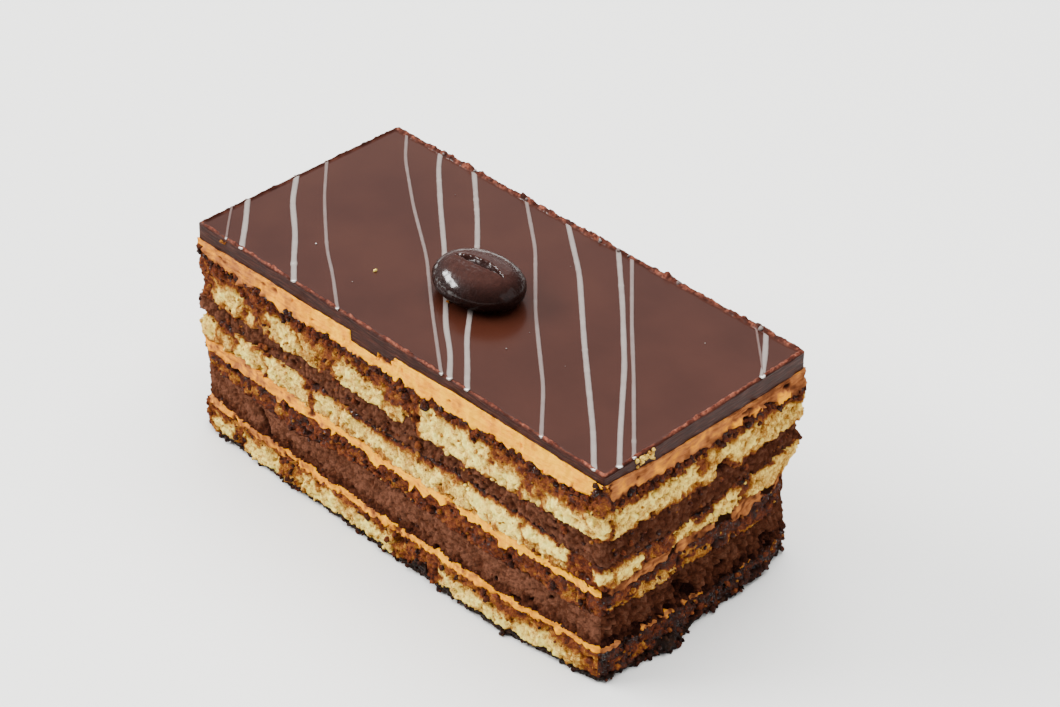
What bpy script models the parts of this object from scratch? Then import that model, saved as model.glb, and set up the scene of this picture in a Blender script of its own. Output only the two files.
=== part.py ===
"""Slice of a layered coffee and chocolate cake, cut on all four sides.

Three soaked almond sponges over a thin bottom one alternate with coffee
buttercream and chocolate ganache. A brushed chocolate coat closes the base and
a poured chocolate glaze the top, with white chocolate strands set into it and
one chocolate coffee bean laid on it.

Metres, +Z up. +X runs along the slice and its front long side faces -Y. The
origin is the middle of the footprint, on the surface that the slice stands on.
"""

import math
from collections import namedtuple

import bmesh
import bpy
from mathutils import Matrix, Vector, noise

# Driving sizes of the cut slice, at the level of its top.
slice_length = 0.0800
slice_width = 0.0377
slice_height = 0.03465
layer_gap = 0.0003

# The knife leaned, so the foot of a side stands out from under the top edge.
front_foot_out = 0.0023
front_foot_fade = 0.020
back_foot_out = 0.0012
right_foot_out = 0.0005
left_foot_out = 0.0003
corner_ease = 0.0003
foot_corner_ease = 0.0009

# Where the outline's points lie, and how far in the boundaries turn level.
long_side_steps = 32
short_side_steps = 15
level_inset = 0.0030

# Relief of the torn sides: spacing of the crags along and up the sides.
crag_spacing = 0.0042
crag_rise = 0.0024
boundary_wave_spacing = 0.0072
boundary_crag = 0.00025

# A lump of the base stands out of the right end, near its front corner.
lump_out = 0.0019
lump_middle_y = -0.0072
lump_half_width = 0.0026
lump_height = 0.0045

# The back right corner has crumbled below the middle sponge.
crumbled_in = 0.0016
crumbled_reach = 0.0035
crumbled_top = 0.0165
crumbled_fade = 0.0015

# Where the height of a boundary is measured, in millimetres round the slice:
# five places along the front from its left end, three across the right end to
# the back corner, and the left end's back corner.
stations = (0.0, 20.0, 40.0, 60.0, 80.0, 92.6, 105.1, 117.7, 197.7, 235.4)

# A boundary between two layers: its heights in millimetres at those places,
# and how high its waves are there.
Boundary = namedtuple("Boundary", "front right back_left wave")
boundaries = (
    Boundary((0.8, 0.7, 0.8, 0.8, 0.7), (0.8, 0.8, 0.8), 0.8, 0.15),
    Boundary((4.7, 4.3, 4.6, 5.5, 5.1), (5.0, 4.4, 4.1), 4.7, 0.40),
    Boundary((6.2, 6.0, 6.2, 6.9, 6.5), (6.3, 5.1, 5.0), 6.0, 0.35),
    Boundary((11.2, 10.4, 11.9, 11.9, 11.5), (11.3, 10.4, 10.9), 11.0, 0.50),
    Boundary((14.0, 14.3, 14.8, 15.2, 15.0), (14.8, 14.2, 14.5), 14.4, 0.50),
    Boundary((16.3, 16.1, 16.2, 16.6, 16.1), (16.5, 16.1, 15.9), 16.1, 0.30),
    Boundary((20.4, 20.4, 20.3, 21.4, 20.0), (19.2, 19.7, 20.3), 20.3, 0.45),
    Boundary((23.0, 23.2, 23.4, 23.8, 24.3), (23.5, 22.9, 23.6), 23.3, 0.40),
    Boundary((29.9, 29.4, 29.6, 30.2, 30.3), (29.9, 29.7, 29.2), 29.6, 0.55),
    Boundary((32.2, 32.5, 32.9, 33.4, 33.3), (32.3, 32.0, 32.0), 32.2, 0.15),
)

# A layer from the base up: the rows of faces on its sides, how deep they are
# torn, how far its middle stands out, and its colour and roughness.
Layer = namedtuple("Layer", "name rows crag bulge colour roughness")
layers = (
    Layer("base_chocolate", 1, 0.0, 0.0, (0.020, 0.009, 0.006), 0.45),
    Layer("sponge_bottom", 3, 0.00070, 0.0, (0.620, 0.480, 0.200), 0.90),
    Layer("buttercream_lower", 2, 0.00030, 0.0002, (0.730, 0.370, 0.130), 0.55),
    Layer("ganache_thick", 3, 0.00060, 0.0001, (0.095, 0.035, 0.024), 0.70),
    Layer("sponge_soaked", 3, 0.00090, -0.0001, (0.170, 0.055, 0.017), 0.85),
    Layer("buttercream_middle", 2, 0.00030, 0.0002, (0.730, 0.370, 0.130), 0.55),
    Layer("sponge_middle", 3, 0.00070, -0.0001, (0.690, 0.560, 0.260), 0.90),
    Layer("ganache_upper", 2, 0.00065, 0.0, (0.080, 0.028, 0.018), 0.70),
    Layer("sponge_top", 3, 0.00080, -0.0001, (0.660, 0.520, 0.230), 0.90),
    Layer("buttercream_top", 2, 0.00015, 0.0002, (0.750, 0.400, 0.150), 0.50),
)
glaze_colour = (0.110, 0.045, 0.036)
glaze_roughness = 0.35

# The knife raised a low burr along the glaze's top edges.
burr_width = 0.0008
burr_height = 0.00035

# The strands of white chocolate, piped before the slice was cut: the width of
# each and the bends that it runs through, in millimetres from the left end and
# from the front side.
strands = (
    (0.40, (0.5, 5.7), (5.6, 0.9)),
    (0.85, (0.5, 8.6), (4.6, 5.0), (9.4, 0.5)),
    (0.85, (0.5, 17.7), (5.1, 13.1), (12.1, 7.8), (20.7, 0.5)),
    (0.55, (0.5, 23.4), (7.3, 17.2), (18.2, 8.4), (29.7, 0.5)),
    (0.55, (2.9, 37.2), (7.9, 32.2), (18.2, 24.5), (29.0, 17.2), (39.6, 8.6), (50.3, 0.5)),
    (0.80, (10.3, 37.2), (12.9, 34.2), (29.6, 20.0), (38.2, 12.5), (47.9, 4.2), (51.8, 0.5)),
    (0.80, (17.5, 37.2), (26.8, 28.9), (32.1, 23.9), (42.3, 13.1), (51.2, 4.7), (55.4, 0.5)),
    (0.60, (28.3, 37.2), (38.2, 29.2), (49.0, 18.6), (61.8, 7.5), (68.7, 0.5)),
    (0.80, (36.7, 37.2), (46.8, 29.2), (59.0, 17.8), (72.9, 5.3), (77.9, 0.5)),
    (0.80, (46.6, 37.2), (55.7, 28.4), (65.7, 18.4), (75.7, 7.2), (79.5, 3.1)),
    (0.35, (49.1, 37.2), (60.4, 25.3), (67.9, 17.8), (79.5, 5.7)),
    (0.40, (71.9, 37.0), (79.4, 29.9)),
    (0.80, (73.8, 37.2), (76.8, 33.3), (79.5, 29.4)),
)
strand_rise = 0.00022

# The coffee bean: its three sizes, place and turn, and the crease along it.
bean_length = 0.0139
bean_breadth = 0.0108
bean_thickness = 0.0054
bean_place = (0.0007, -0.0027)
bean_turn = math.radians(5)
bean_clearance = 0.0003
crease_half_length = 0.0044
crease_depth = 0.0011
crease_half_width = 0.0007
crease_lip = 0.00025


def clear_scene():
    """Remove the objects that a new file starts with."""
    for leftover in list(bpy.data.objects):
        bpy.data.objects.remove(leftover, do_unlink=True)


def new_collection(name):
    collection = bpy.data.collections.new(name)
    bpy.context.scene.collection.children.link(collection)
    return collection


def make_material(name, colour, roughness):
    """A Principled material of one colour and roughness, not metallic."""
    material = bpy.data.materials.new(name)
    material.use_nodes = True
    shader = material.node_tree.nodes["Principled BSDF"]
    shader.inputs["Base Color"].default_value = (*colour, 1.0)
    shader.inputs["Roughness"].default_value = roughness
    shader.inputs["Metallic"].default_value = 0.0
    return material


def add_object(name, form, collection, material):
    """Turn a bmesh into a named object, and free the bmesh."""
    bmesh.ops.recalc_face_normals(form, faces=form.faces)
    mesh = bpy.data.meshes.new(name)
    form.to_mesh(mesh)
    form.free()
    mesh.materials.append(material)
    item = bpy.data.objects.new(name, mesh)
    collection.objects.link(item)
    return item


def smooth_step(value):
    """Rise from 0 to 1 with level ends, for a value from 0 to 1."""
    value = min(1.0, max(0.0, value))
    return value * value * (3 - 2 * value)


def wave_at(x, y, z, spacing, rise, seed):
    """Smooth noise from about -1 to 1, the same on every run."""
    place = Vector((x / spacing + seed, y / spacing - seed, z / rise + seed))
    return 1.6 * noise.noise(place)


def top_outline():
    """Points round the top edge, each with the sides that it lies on."""
    half_length = slice_length / 2
    half_width = slice_width / 2
    points = []
    for step in range(long_side_steps):
        x = -half_length + slice_length * step / long_side_steps
        points.append((x, -half_width, 0 if step else -1, -1))
    for step in range(short_side_steps):
        y = -half_width + slice_width * step / short_side_steps
        points.append((half_length, y, 1, 0 if step else -1))
    for step in range(long_side_steps):
        x = half_length - slice_length * step / long_side_steps
        points.append((x, half_width, 0 if step else 1, 1))
    for step in range(short_side_steps):
        y = half_width - slice_width * step / short_side_steps
        points.append((-half_length, y, -1, 0 if step else 1))
    return points


def foot_out(x, y, side_x, side_y):
    """How far the foot stands out along X and along Y under a top edge point."""
    out_x = 0.0
    out_y = 0.0
    if side_y < 0:
        out_y = front_foot_out * smooth_step((slice_length / 2 - x) / front_foot_fade)
    if side_y > 0:
        out_y = back_foot_out
    if side_x > 0:
        out_x = right_foot_out * smooth_step(1 - abs(2 * y / slice_width) ** 3)
    if side_x < 0:
        out_x = left_foot_out
    return out_x, out_y


def lump_at(y, z, side_x):
    """Reach of the lump of the base at the right end."""
    if side_x <= 0:
        return 0.0
    across = math.exp(-((y - lump_middle_y) / lump_half_width) ** 2)
    return lump_out * across * smooth_step(1 - z / lump_height)


def crumbled_at(x, y, z):
    """How far the sides are pulled in near the crumbled corner."""
    away = math.hypot(x - slice_length / 2, y - slice_width / 2)
    near = math.exp(-((away / crumbled_reach) ** 2))
    return crumbled_in * near * smooth_step((crumbled_top - z) / crumbled_fade)


def side_place(point, z, out):
    """A point of the sides at height z, pushed out of its side by a distance."""
    x, y, side_x, side_y = point
    below = 1 - z / slice_height
    out_x, out_y = foot_out(x, y, side_x, side_y)
    out -= crumbled_at(x, y, z)
    out_x = out_x * below + out + lump_at(y, z, side_x)
    out_y = out_y * below + out
    if side_x and side_y:
        ease = corner_ease + foot_corner_ease * below
        out_x -= ease
        out_y -= ease
    return x + side_x * out_x, y + side_y * out_y


def way_round(point):
    """Distance round the slice from its front left corner, in millimetres."""
    x, y, side_x, side_y = point
    if side_y < 0:
        return 1000 * (x + slice_length / 2)
    if side_x > 0:
        return 1000 * (slice_length + y + slice_width / 2)
    if side_y > 0:
        return 1000 * (slice_length * 1.5 + slice_width - x)
    return 1000 * (2 * slice_length + slice_width * 1.5 - y)


def side_height(index, point):
    """Height of a boundary at a side: between its stations, with its waves."""
    boundary = boundaries[index]
    heights = (*boundary.front, *boundary.right, boundary.back_left, boundary.front[0])
    place = way_round(point)
    after = next(n for n in range(1, len(stations)) if place <= stations[n])
    before = after - 1
    share = (place - stations[before]) / (stations[after] - stations[before])
    height = heights[before] + smooth_step(share) * (heights[after] - heights[before])
    wave = wave_at(point[0], point[1], 0, boundary_wave_spacing, 1, 3.7 * index + 1)
    return 0.001 * (height + boundary.wave * wave)


def inner_height(index, x, y):
    """Height of a boundary inside: a plane with the mean climbs of its corners."""
    boundary = boundaries[index]
    front_left = boundary.front[0]
    front_right = boundary.front[-1]
    back_right = boundary.right[-1]
    back_left = boundary.back_left
    middle = (front_left + front_right + back_right + back_left) / 4
    climb_x = (front_right + back_right - front_left - back_left) / 2
    climb_y = (back_left + back_right - front_left - front_right) / 2
    return 0.001 * (middle + climb_x * x / slice_length + climb_y * y / slice_width)


def boundary_ring(index, outline, lift):
    """The boundary's outer ring, raised or lowered by half of the gap."""
    ring = []
    for point in outline:
        z = side_height(index, point)
        out = boundary_crag * wave_at(point[0], point[1], z, crag_spacing, 1, 5.3 * index)
        if index == len(boundaries) - 1:
            out = 0.0
        ring.append((*side_place(point, z, out), z + lift))
    return ring


def level_ring(index, outline, lift):
    """The same boundary further in, where it has turned level."""
    ring = []
    for point in outline:
        inner_x = point[0] * (1 - 2 * level_inset / slice_length)
        inner_y = point[1] * (1 - 2 * level_inset / slice_width)
        ring.append((inner_x, inner_y, inner_height(index, inner_x, inner_y) + lift))
    return ring


def side_ring(low_ring, high_ring, outline, share, layer, seed):
    """A ring of crags between a layer's lower and upper boundary rings."""
    ring = []
    for low, high, point in zip(low_ring, high_ring, outline):
        z = low[2] + share * (high[2] - low[2])
        out = layer.bulge
        out += layer.crag * wave_at(point[0], point[1], z, crag_spacing, crag_rise, seed)
        ring.append((*side_place(point, z, out), z))
    return ring


def loft(rings):
    """Join rings of equal count into one closed body with filled ends."""
    form = bmesh.new()
    rows = [[form.verts.new(place) for place in ring] for ring in rings]
    count = len(rows[0])
    for low, high in zip(rows, rows[1:]):
        for step in range(count):
            after = (step + 1) % count
            form.faces.new((low[step], low[after], high[after]))
            form.faces.new((low[step], high[after], high[step]))
    form.faces.new(list(reversed(rows[0])))
    form.faces.new(rows[-1])
    return form


def make_layer(index, outline, collection):
    """One layer, between the boundary under it and the boundary over it."""
    layer = layers[index]
    half_gap = layer_gap / 2
    if index == 0:
        low = [(*side_place(point, 0, 0), 0.0) for point in outline]
        rings = [low]
    else:
        low = boundary_ring(index - 1, outline, half_gap)
        rings = [level_ring(index - 1, outline, half_gap), low]
    high = boundary_ring(index, outline, -half_gap)
    for row in range(1, layer.rows):
        rings.append(side_ring(low, high, outline, row / layer.rows, layer, 9.1 * index))
    rings += [high, level_ring(index, outline, -half_gap)]
    material = make_material(layer.name, layer.colour, layer.roughness)
    return add_object(layer.name, loft(rings), collection, material)


def make_strand(width, bends, number, collection):
    """One strand: a flattened tube through its bends."""
    curve = bpy.data.curves.new(f"strand_{number}", "CURVE")
    curve.dimensions = "3D"
    curve.bevel_depth = width * 0.0005
    curve.bevel_resolution = 1
    curve.use_fill_caps = True
    spline = curve.splines.new("POLY")
    spline.points.add(len(bends) - 1)
    for (x, y), spot in zip(bends, spline.points):
        place_x = 0.001 * x - slice_length / 2
        place_y = 0.001 * y - slice_width / 2
        spot.co = (place_x, place_y, 0.0, 1.0)
    guide = bpy.data.objects.new(curve.name, curve)
    collection.objects.link(guide)
    guide.scale = (1.0, 1.0, strand_rise / curve.bevel_depth)
    guide.location = (0.0, 0.0, slice_height)
    bpy.context.view_layer.update()
    evaluated = guide.evaluated_get(bpy.context.evaluated_depsgraph_get())
    mesh = bpy.data.meshes.new_from_object(evaluated)
    mesh.transform(guide.matrix_world)
    bpy.data.objects.remove(guide)
    form = bmesh.new()
    form.from_mesh(mesh)
    bmesh.ops.remove_doubles(form, verts=form.verts, dist=0.000001)
    bmesh.ops.recalc_face_normals(form, faces=form.faces)
    form.to_mesh(mesh)
    form.free()
    collection.objects.link(bpy.data.objects.new(curve.name, mesh))


def fuse(item, collection):
    """Join an object with all objects of a collection, which are then removed."""
    join = item.modifiers.new("join", "BOOLEAN")
    join.operation = "UNION"
    join.solver = "EXACT"
    join.operand_type = "COLLECTION"
    join.collection = collection
    bpy.context.view_layer.update()
    evaluated = item.evaluated_get(bpy.context.evaluated_depsgraph_get())
    mesh = bpy.data.meshes.new_from_object(evaluated)
    item.modifiers.clear()
    item.data = mesh
    for tool in list(collection.objects):
        bpy.data.objects.remove(tool, do_unlink=True)
    bpy.data.collections.remove(collection)


def make_glaze(outline, collection):
    """The poured glaze with its burr, and the strands fused to it."""
    last = len(boundaries) - 1
    half_gap = layer_gap / 2
    burr = []
    flat = []
    for point in outline:
        x, y = point[0], point[1]
        lift = 0.6 + 0.5 * wave_at(x, y, 0, crag_spacing, 1, 2.9)
        burr.append((*side_place(point, slice_height, 0.0), slice_height + burr_height * lift))
        inner_x = x * (1 - 2 * burr_width / slice_length)
        inner_y = y * (1 - 2 * burr_width / slice_width)
        flat.append((inner_x, inner_y, slice_height))
    rings = [
        level_ring(last, outline, half_gap),
        boundary_ring(last, outline, half_gap),
        burr,
        flat,
    ]
    material = make_material("glaze", glaze_colour, glaze_roughness)
    glaze = add_object("glaze", loft(rings), collection, material)
    piping = new_collection("strands")
    for number, (width, *bends) in enumerate(strands):
        make_strand(width, bends, number, piping)
    fuse(glaze, piping)


def make_bean(collection):
    """The bean: a flattened ball with a lipped crease along its top."""
    form = bmesh.new()
    bmesh.ops.create_uvsphere(
        form,
        u_segments=28,
        v_segments=14,
        radius=0.5,
        matrix=Matrix.Rotation(math.radians(90), 4, "Y"),
    )
    for vertex in form.verts:
        spot = vertex.co
        spot.x *= bean_length
        spot.y *= bean_breadth
        spot.z *= bean_thickness
        if spot.z > 0:
            along = smooth_step(1.3 * (1 - abs(spot.x) / crease_half_length))
            across = spot.y / crease_half_width
            spot.z -= crease_depth * along * math.exp(-across * across)
            spot.z += crease_lip * along * math.exp(-((abs(across) - 2) ** 2))
    lift = Vector((*bean_place, slice_height + bean_clearance + bean_thickness / 2))
    place = Matrix.Translation(lift) @ Matrix.Rotation(bean_turn, 4, "Z")
    bmesh.ops.transform(form, matrix=place, verts=form.verts)
    material = make_material("coffee_bean", (0.028, 0.011, 0.009), 0.22)
    bean = add_object("coffee_bean", form, collection, material)
    bean.data.shade_smooth()


def centre_on_footprint(collection):
    """Move every piece so that the origin is the middle of the whole slice's box."""
    places = [vertex.co for item in collection.objects for vertex in item.data.vertices]
    middle_x = (min(p.x for p in places) + max(p.x for p in places)) / 2
    middle_y = (min(p.y for p in places) + max(p.y for p in places)) / 2
    for item in collection.objects:
        item.data.transform(Matrix.Translation((-middle_x, -middle_y, 0.0)))


def build_slice():
    clear_scene()
    cake = new_collection("cake_slice")
    outline = top_outline()
    for index in range(len(layers)):
        make_layer(index, outline, cake)
    make_glaze(outline, cake)
    make_bean(cake)
    centre_on_footprint(cake)


build_slice()
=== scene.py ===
import bpy
import numpy as np
from mathutils import Matrix, Vector


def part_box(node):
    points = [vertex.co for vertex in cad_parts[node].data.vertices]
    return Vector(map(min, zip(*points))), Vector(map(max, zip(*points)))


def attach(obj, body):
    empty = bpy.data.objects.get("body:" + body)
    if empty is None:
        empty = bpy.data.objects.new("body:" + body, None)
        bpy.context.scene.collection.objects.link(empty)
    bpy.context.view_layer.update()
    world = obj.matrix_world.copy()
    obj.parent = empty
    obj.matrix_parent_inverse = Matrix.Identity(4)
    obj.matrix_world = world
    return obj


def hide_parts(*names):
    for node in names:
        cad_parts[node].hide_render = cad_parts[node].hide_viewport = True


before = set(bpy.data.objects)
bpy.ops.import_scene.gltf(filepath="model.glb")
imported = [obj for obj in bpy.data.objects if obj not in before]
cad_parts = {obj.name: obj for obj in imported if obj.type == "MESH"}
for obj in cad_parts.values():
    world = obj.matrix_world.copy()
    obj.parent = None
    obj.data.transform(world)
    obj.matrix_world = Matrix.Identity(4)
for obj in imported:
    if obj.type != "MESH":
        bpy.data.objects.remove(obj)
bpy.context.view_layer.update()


# The table top that the slice stands on, plain and pale, under soft studio light: a broad lamp overhead,
# a window on the left that rakes over the long cut side, and pale walls, one on the right and one at the
# back that the satin top mirrors. The camera looks down on the front corner.
def tone(red, green, blue):
    """A colour for a socket from its three screen values of 0 to 255."""
    screen = np.array([red, green, blue]) / 255
    return (*np.where(screen > 0.04045, ((screen + 0.055) / 1.055) ** 2.4, screen / 12.92), 1.0)


class Wire:
    """A node's socket in a sum: an expression on it adds its Math nodes to the finish."""

    def __init__(self, finish, socket):
        self.finish = finish
        self.socket = socket

    def maths(self, operation, first, second):
        return self.finish.node("ShaderNodeMath", {"operation": operation}, {0: first, 1: second})

    def __add__(self, other):
        return self.maths("ADD", self, other)

    def __radd__(self, other):
        return self.maths("ADD", other, self)

    def __sub__(self, other):
        return self.maths("SUBTRACT", self, other)

    def __rsub__(self, other):
        return self.maths("SUBTRACT", other, self)

    def __mul__(self, other):
        return self.maths("MULTIPLY", self, other)

    def __rmul__(self, other):
        return self.maths("MULTIPLY", other, self)


class Finish:
    """A material: `node` adds any of its nodes, and `wear` sets the sockets of its surface. Between
    them are the nodes that most of the finishes use."""

    def __init__(self, name):
        self.material = bpy.data.materials.new(name)
        self.material.use_nodes = True
        self.tree = self.material.node_tree
        self.surface = self.tree.nodes["Principled BSDF"]

    def fill(self, socket, value):
        if isinstance(value, Wire):
            self.tree.links.new(value.socket, socket)
        else:
            socket.default_value = value

    def node(self, kind, settings, inputs, output=0):
        """Adds a node of this type: its settings first, then the values or links of its sockets."""
        made = self.tree.nodes.new(kind)
        for name, value in settings.items():
            if name == "stops":
                while len(made.color_ramp.elements) < len(value):
                    made.color_ramp.elements.new(1.0)
                for number, (place, colour) in enumerate(value):
                    made.color_ramp.elements[number].position = place
                    made.color_ramp.elements[number].color = colour
            else:
                setattr(made, name, value)
        for name, value in inputs.items():
            self.fill(made.inputs[name], value)
        return Wire(self, made.outputs[output])

    def place(self):
        """Where a point lies on its object."""
        return self.node("ShaderNodeTexCoord", {}, {}, "Object")

    def mask(self, name):
        """One of the numbers that the mesh carries for each of its points."""
        return self.node("ShaderNodeAttribute", {"attribute_name": name}, {}, "Fac")

    def noise(self, place, scale, detail, roughness=0.5):
        """Smooth noise from 0 to 1 with `scale` swells to a metre, broken up `detail` times."""
        return self.node("ShaderNodeTexNoise", {}, {"Vector": place, "Scale": scale, "Detail": detail,
                                                    "Roughness": roughness})

    def colours(self, stops, by):
        """Runs through the (place, red, green, blue) stops as `by` goes from 0 to 1."""
        stops = [(place, tone(*screen)) for place, *screen in stops]
        return self.node("ShaderNodeValToRGB", {"stops": stops}, {"Fac": by})

    def mix(self, share, first, second, blend="MIX"):
        """The first colour where the share is 0, and the second, or its blend with the first, where 1."""
        return self.node("ShaderNodeMix", {"data_type": "RGBA", "blend_type": blend}, {
            0: share, 6: first, 7: second}, 2)

    def bump(self, height, strength, distance):
        """A normal that follows the height, which rises by `distance` metres from 0 to 1."""
        return self.node("ShaderNodeBump", {}, {"Height": height, "Strength": strength, "Distance": distance})

    def wear(self, **sockets):
        for name, value in sockets.items():
            self.fill(self.surface.inputs[name.replace("_", " ")], value)


table_finish = Finish("table")
table_finish.wear(Base_Color=tone(240, 240, 237), Roughness=0.6)
table_half = 3.0
table_mesh = bpy.data.meshes.new("table")
table_mesh.from_pydata([(-table_half, -table_half, 0), (table_half, -table_half, 0),
                        (table_half, table_half, 0), (-table_half, table_half, 0)], [], [(0, 1, 2, 3)])
table_mesh.materials.append(table_finish.material)
table = bpy.data.objects.new("table", table_mesh)
bpy.context.scene.collection.objects.link(table)

glaze_low, glaze_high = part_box("glaze")
slice_middle = Vector(((glaze_low.x + glaze_high.x) / 2, (glaze_low.y + glaze_high.y) / 2, 0))
view_round = np.radians(45.67)
view_above = np.radians(36.08)
camera_away = 0.33886       # the camera's sizes are in metres
aim_above = 0.018
slid_right = 0.00539
slid_up = 0.00407
toward_camera = Vector((np.sin(view_round) * np.cos(view_above),
                        -np.cos(view_round) * np.cos(view_above), np.sin(view_above)))
camera_right = Vector((np.cos(view_round), np.sin(view_round), 0))
camera_up = toward_camera.cross(camera_right)
camera_place = (slice_middle + Vector((0, 0, aim_above)) + camera_away * toward_camera
                + slid_right * camera_right + slid_up * camera_up)
camera_data = bpy.data.cameras.new("camera")
camera_data.sensor_width = 36.0
camera_data.lens = 82.36
camera_data.clip_start = 0.01
camera = bpy.data.objects.new("camera", camera_data)
camera.matrix_world = Matrix((
    (camera_right.x, camera_up.x, toward_camera.x, camera_place.x),
    (camera_right.y, camera_up.y, toward_camera.y, camera_place.y),
    (camera_right.z, camera_up.z, toward_camera.z, camera_place.z), (0, 0, 0, 1)))
bpy.context.scene.collection.objects.link(camera)
bpy.context.scene.camera = camera


def soft_light(name, toward, away, wide, high, watts, tint, mirrored=True):
    """A flat lamp `away` metres from the slice in the direction `toward`, turned to face it. Glossy
    surfaces show its image only where it is mirrored."""
    lamp = bpy.data.lights.new(name, "AREA")
    lamp.shape = "RECTANGLE"
    lamp.size = wide
    lamp.size_y = high
    lamp.energy = watts
    lamp.color = tint
    item = bpy.data.objects.new(name, lamp)
    item.rotation_mode = "QUATERNION"
    item.rotation_quaternion = Vector(toward).to_track_quat("Z", "Y")
    item.location = slice_middle + Vector(toward).normalized() * away
    item.visible_glossy = mirrored
    bpy.context.scene.collection.objects.link(item)


soft_light("window", (-0.70, -0.46, 0.55), 2.2, 1.5, 0.5, 86.0, (1.0, 0.99, 0.98))
soft_light("ceiling_lamp", (-0.05, 0.13, 1.0), 1.0, 1.3, 1.3, 36.5, (1.0, 1.0, 1.0), mirrored=False)
soft_light("back_wall", (-0.494, 0.651, 0.589), 1.6, 1.2, 1.2, 3.3, (1.0, 0.99, 1.0))
soft_light("wall_glow", (0.85, 0.25, 0.45), 1.2, 1.0, 1.0, 4.3, (0.97, 0.98, 1.0))
world = bpy.data.worlds.new("studio")
world.use_nodes = True
walls = world.node_tree.nodes["Background"].inputs
walls["Color"].default_value = (0.93, 0.96, 1.0, 1.0)
walls["Strength"].default_value = 0.25
bpy.context.scene.world = world


# The base: a thin coat of dark chocolate brushed on the underside, nearly black. It keeps the bottom
# sponge dry. The knife has broken its edge into flakes, and one lump stands out at the right.
# All sizes are in millimetres, from the middle of the slice's plan. A noise's last number is its seed.
slice_length = 80.0
slice_width = 37.7
slice_height = 34.65
columns = 1680              # points round the slice
row_height = 0.14
thinnest = 0.12             # the least height that a layer keeps where its edges meet
perimeter = 2 * (slice_length + slice_width)
way = np.arange(columns) * perimeter / columns      # round from the front left corner
front_right, back_right, back_left = 80, 117.7, 197.7       # the way at the other corners
corners_at = [0, front_right, back_right, back_left, perimeter]
rim_x = np.interp(way, corners_at, [-40, 40, 40, -40, -40])
rim_y = np.interp(way, corners_at, [-18.85, -18.85, 18.85, 18.85, -18.85])
stations = np.array([0, 20, 40, 60, front_right, 92.6, 105.1, back_right, back_left, perimeter])
cells = 32                  # the noise repeats after so many of its cells
seeds_apart = 19.7          # how many cells lie between two seeds' noises
chance = np.random.default_rng(11)
slopes = chance.normal(size=(cells, cells, cells, 3))
slopes /= np.linalg.norm(slopes, axis=-1, keepdims=True)
scatter = chance.random((cells, cells, cells, 4))


def eased(value):
    """Rises from 0 to 1 with level ends while the value goes from 0 to 1."""
    value = np.clip(value, 0.0, 1.0)
    return value * value * (3 - 2 * value)


def grain(places, size, seed):
    """Smooth noise from about -1 to 1 with swells `size` mm across: each corner of a place's cell has a
    slope of its own, and the slopes' heights are blended by how near the corners lie."""
    spread = places / size + seeds_apart * seed
    cell = np.floor(spread).astype(np.int64)
    part = spread - cell
    fade = part ** 3 * (part * (part * 6 - 15) + 10)
    total = np.zeros(places.shape[:-1])
    for corner in np.ndindex(2, 2, 2):
        at = (cell + corner) % cells
        slope = slopes[at[..., 0], at[..., 1], at[..., 2]]
        near = np.prod(np.where(np.array(corner) == 1, fade, 1 - fade), axis=-1)
        total += near * np.sum(slope * (part - corner), axis=-1)
    return 1.6 * total


def lumps(places, size, seed):
    """Rounded lumps `size` mm across with sharp valleys: every cell has one centre at random, and the
    height falls with the square of the distance to the nearest one. The second array is a number from
    0 to 1 for each lump."""
    spread = places / size + seeds_apart * seed
    cell = np.floor(spread).astype(np.int64)
    nearest = np.full(places.shape[:-1], 9.0)
    number = np.zeros(places.shape[:-1])
    for step in np.ndindex(3, 3, 3):
        at = cell + step - 1
        centre = scatter[at[..., 0] % cells, at[..., 1] % cells, at[..., 2] % cells]
        away = np.sum((spread - at - centre[..., :3]) ** 2, axis=-1)
        number = np.where(away < nearest, centre[..., 3], number)
        nearest = np.minimum(nearest, away)
    return np.clip(1 - nearest / 0.45, -0.6, 1), number


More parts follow.
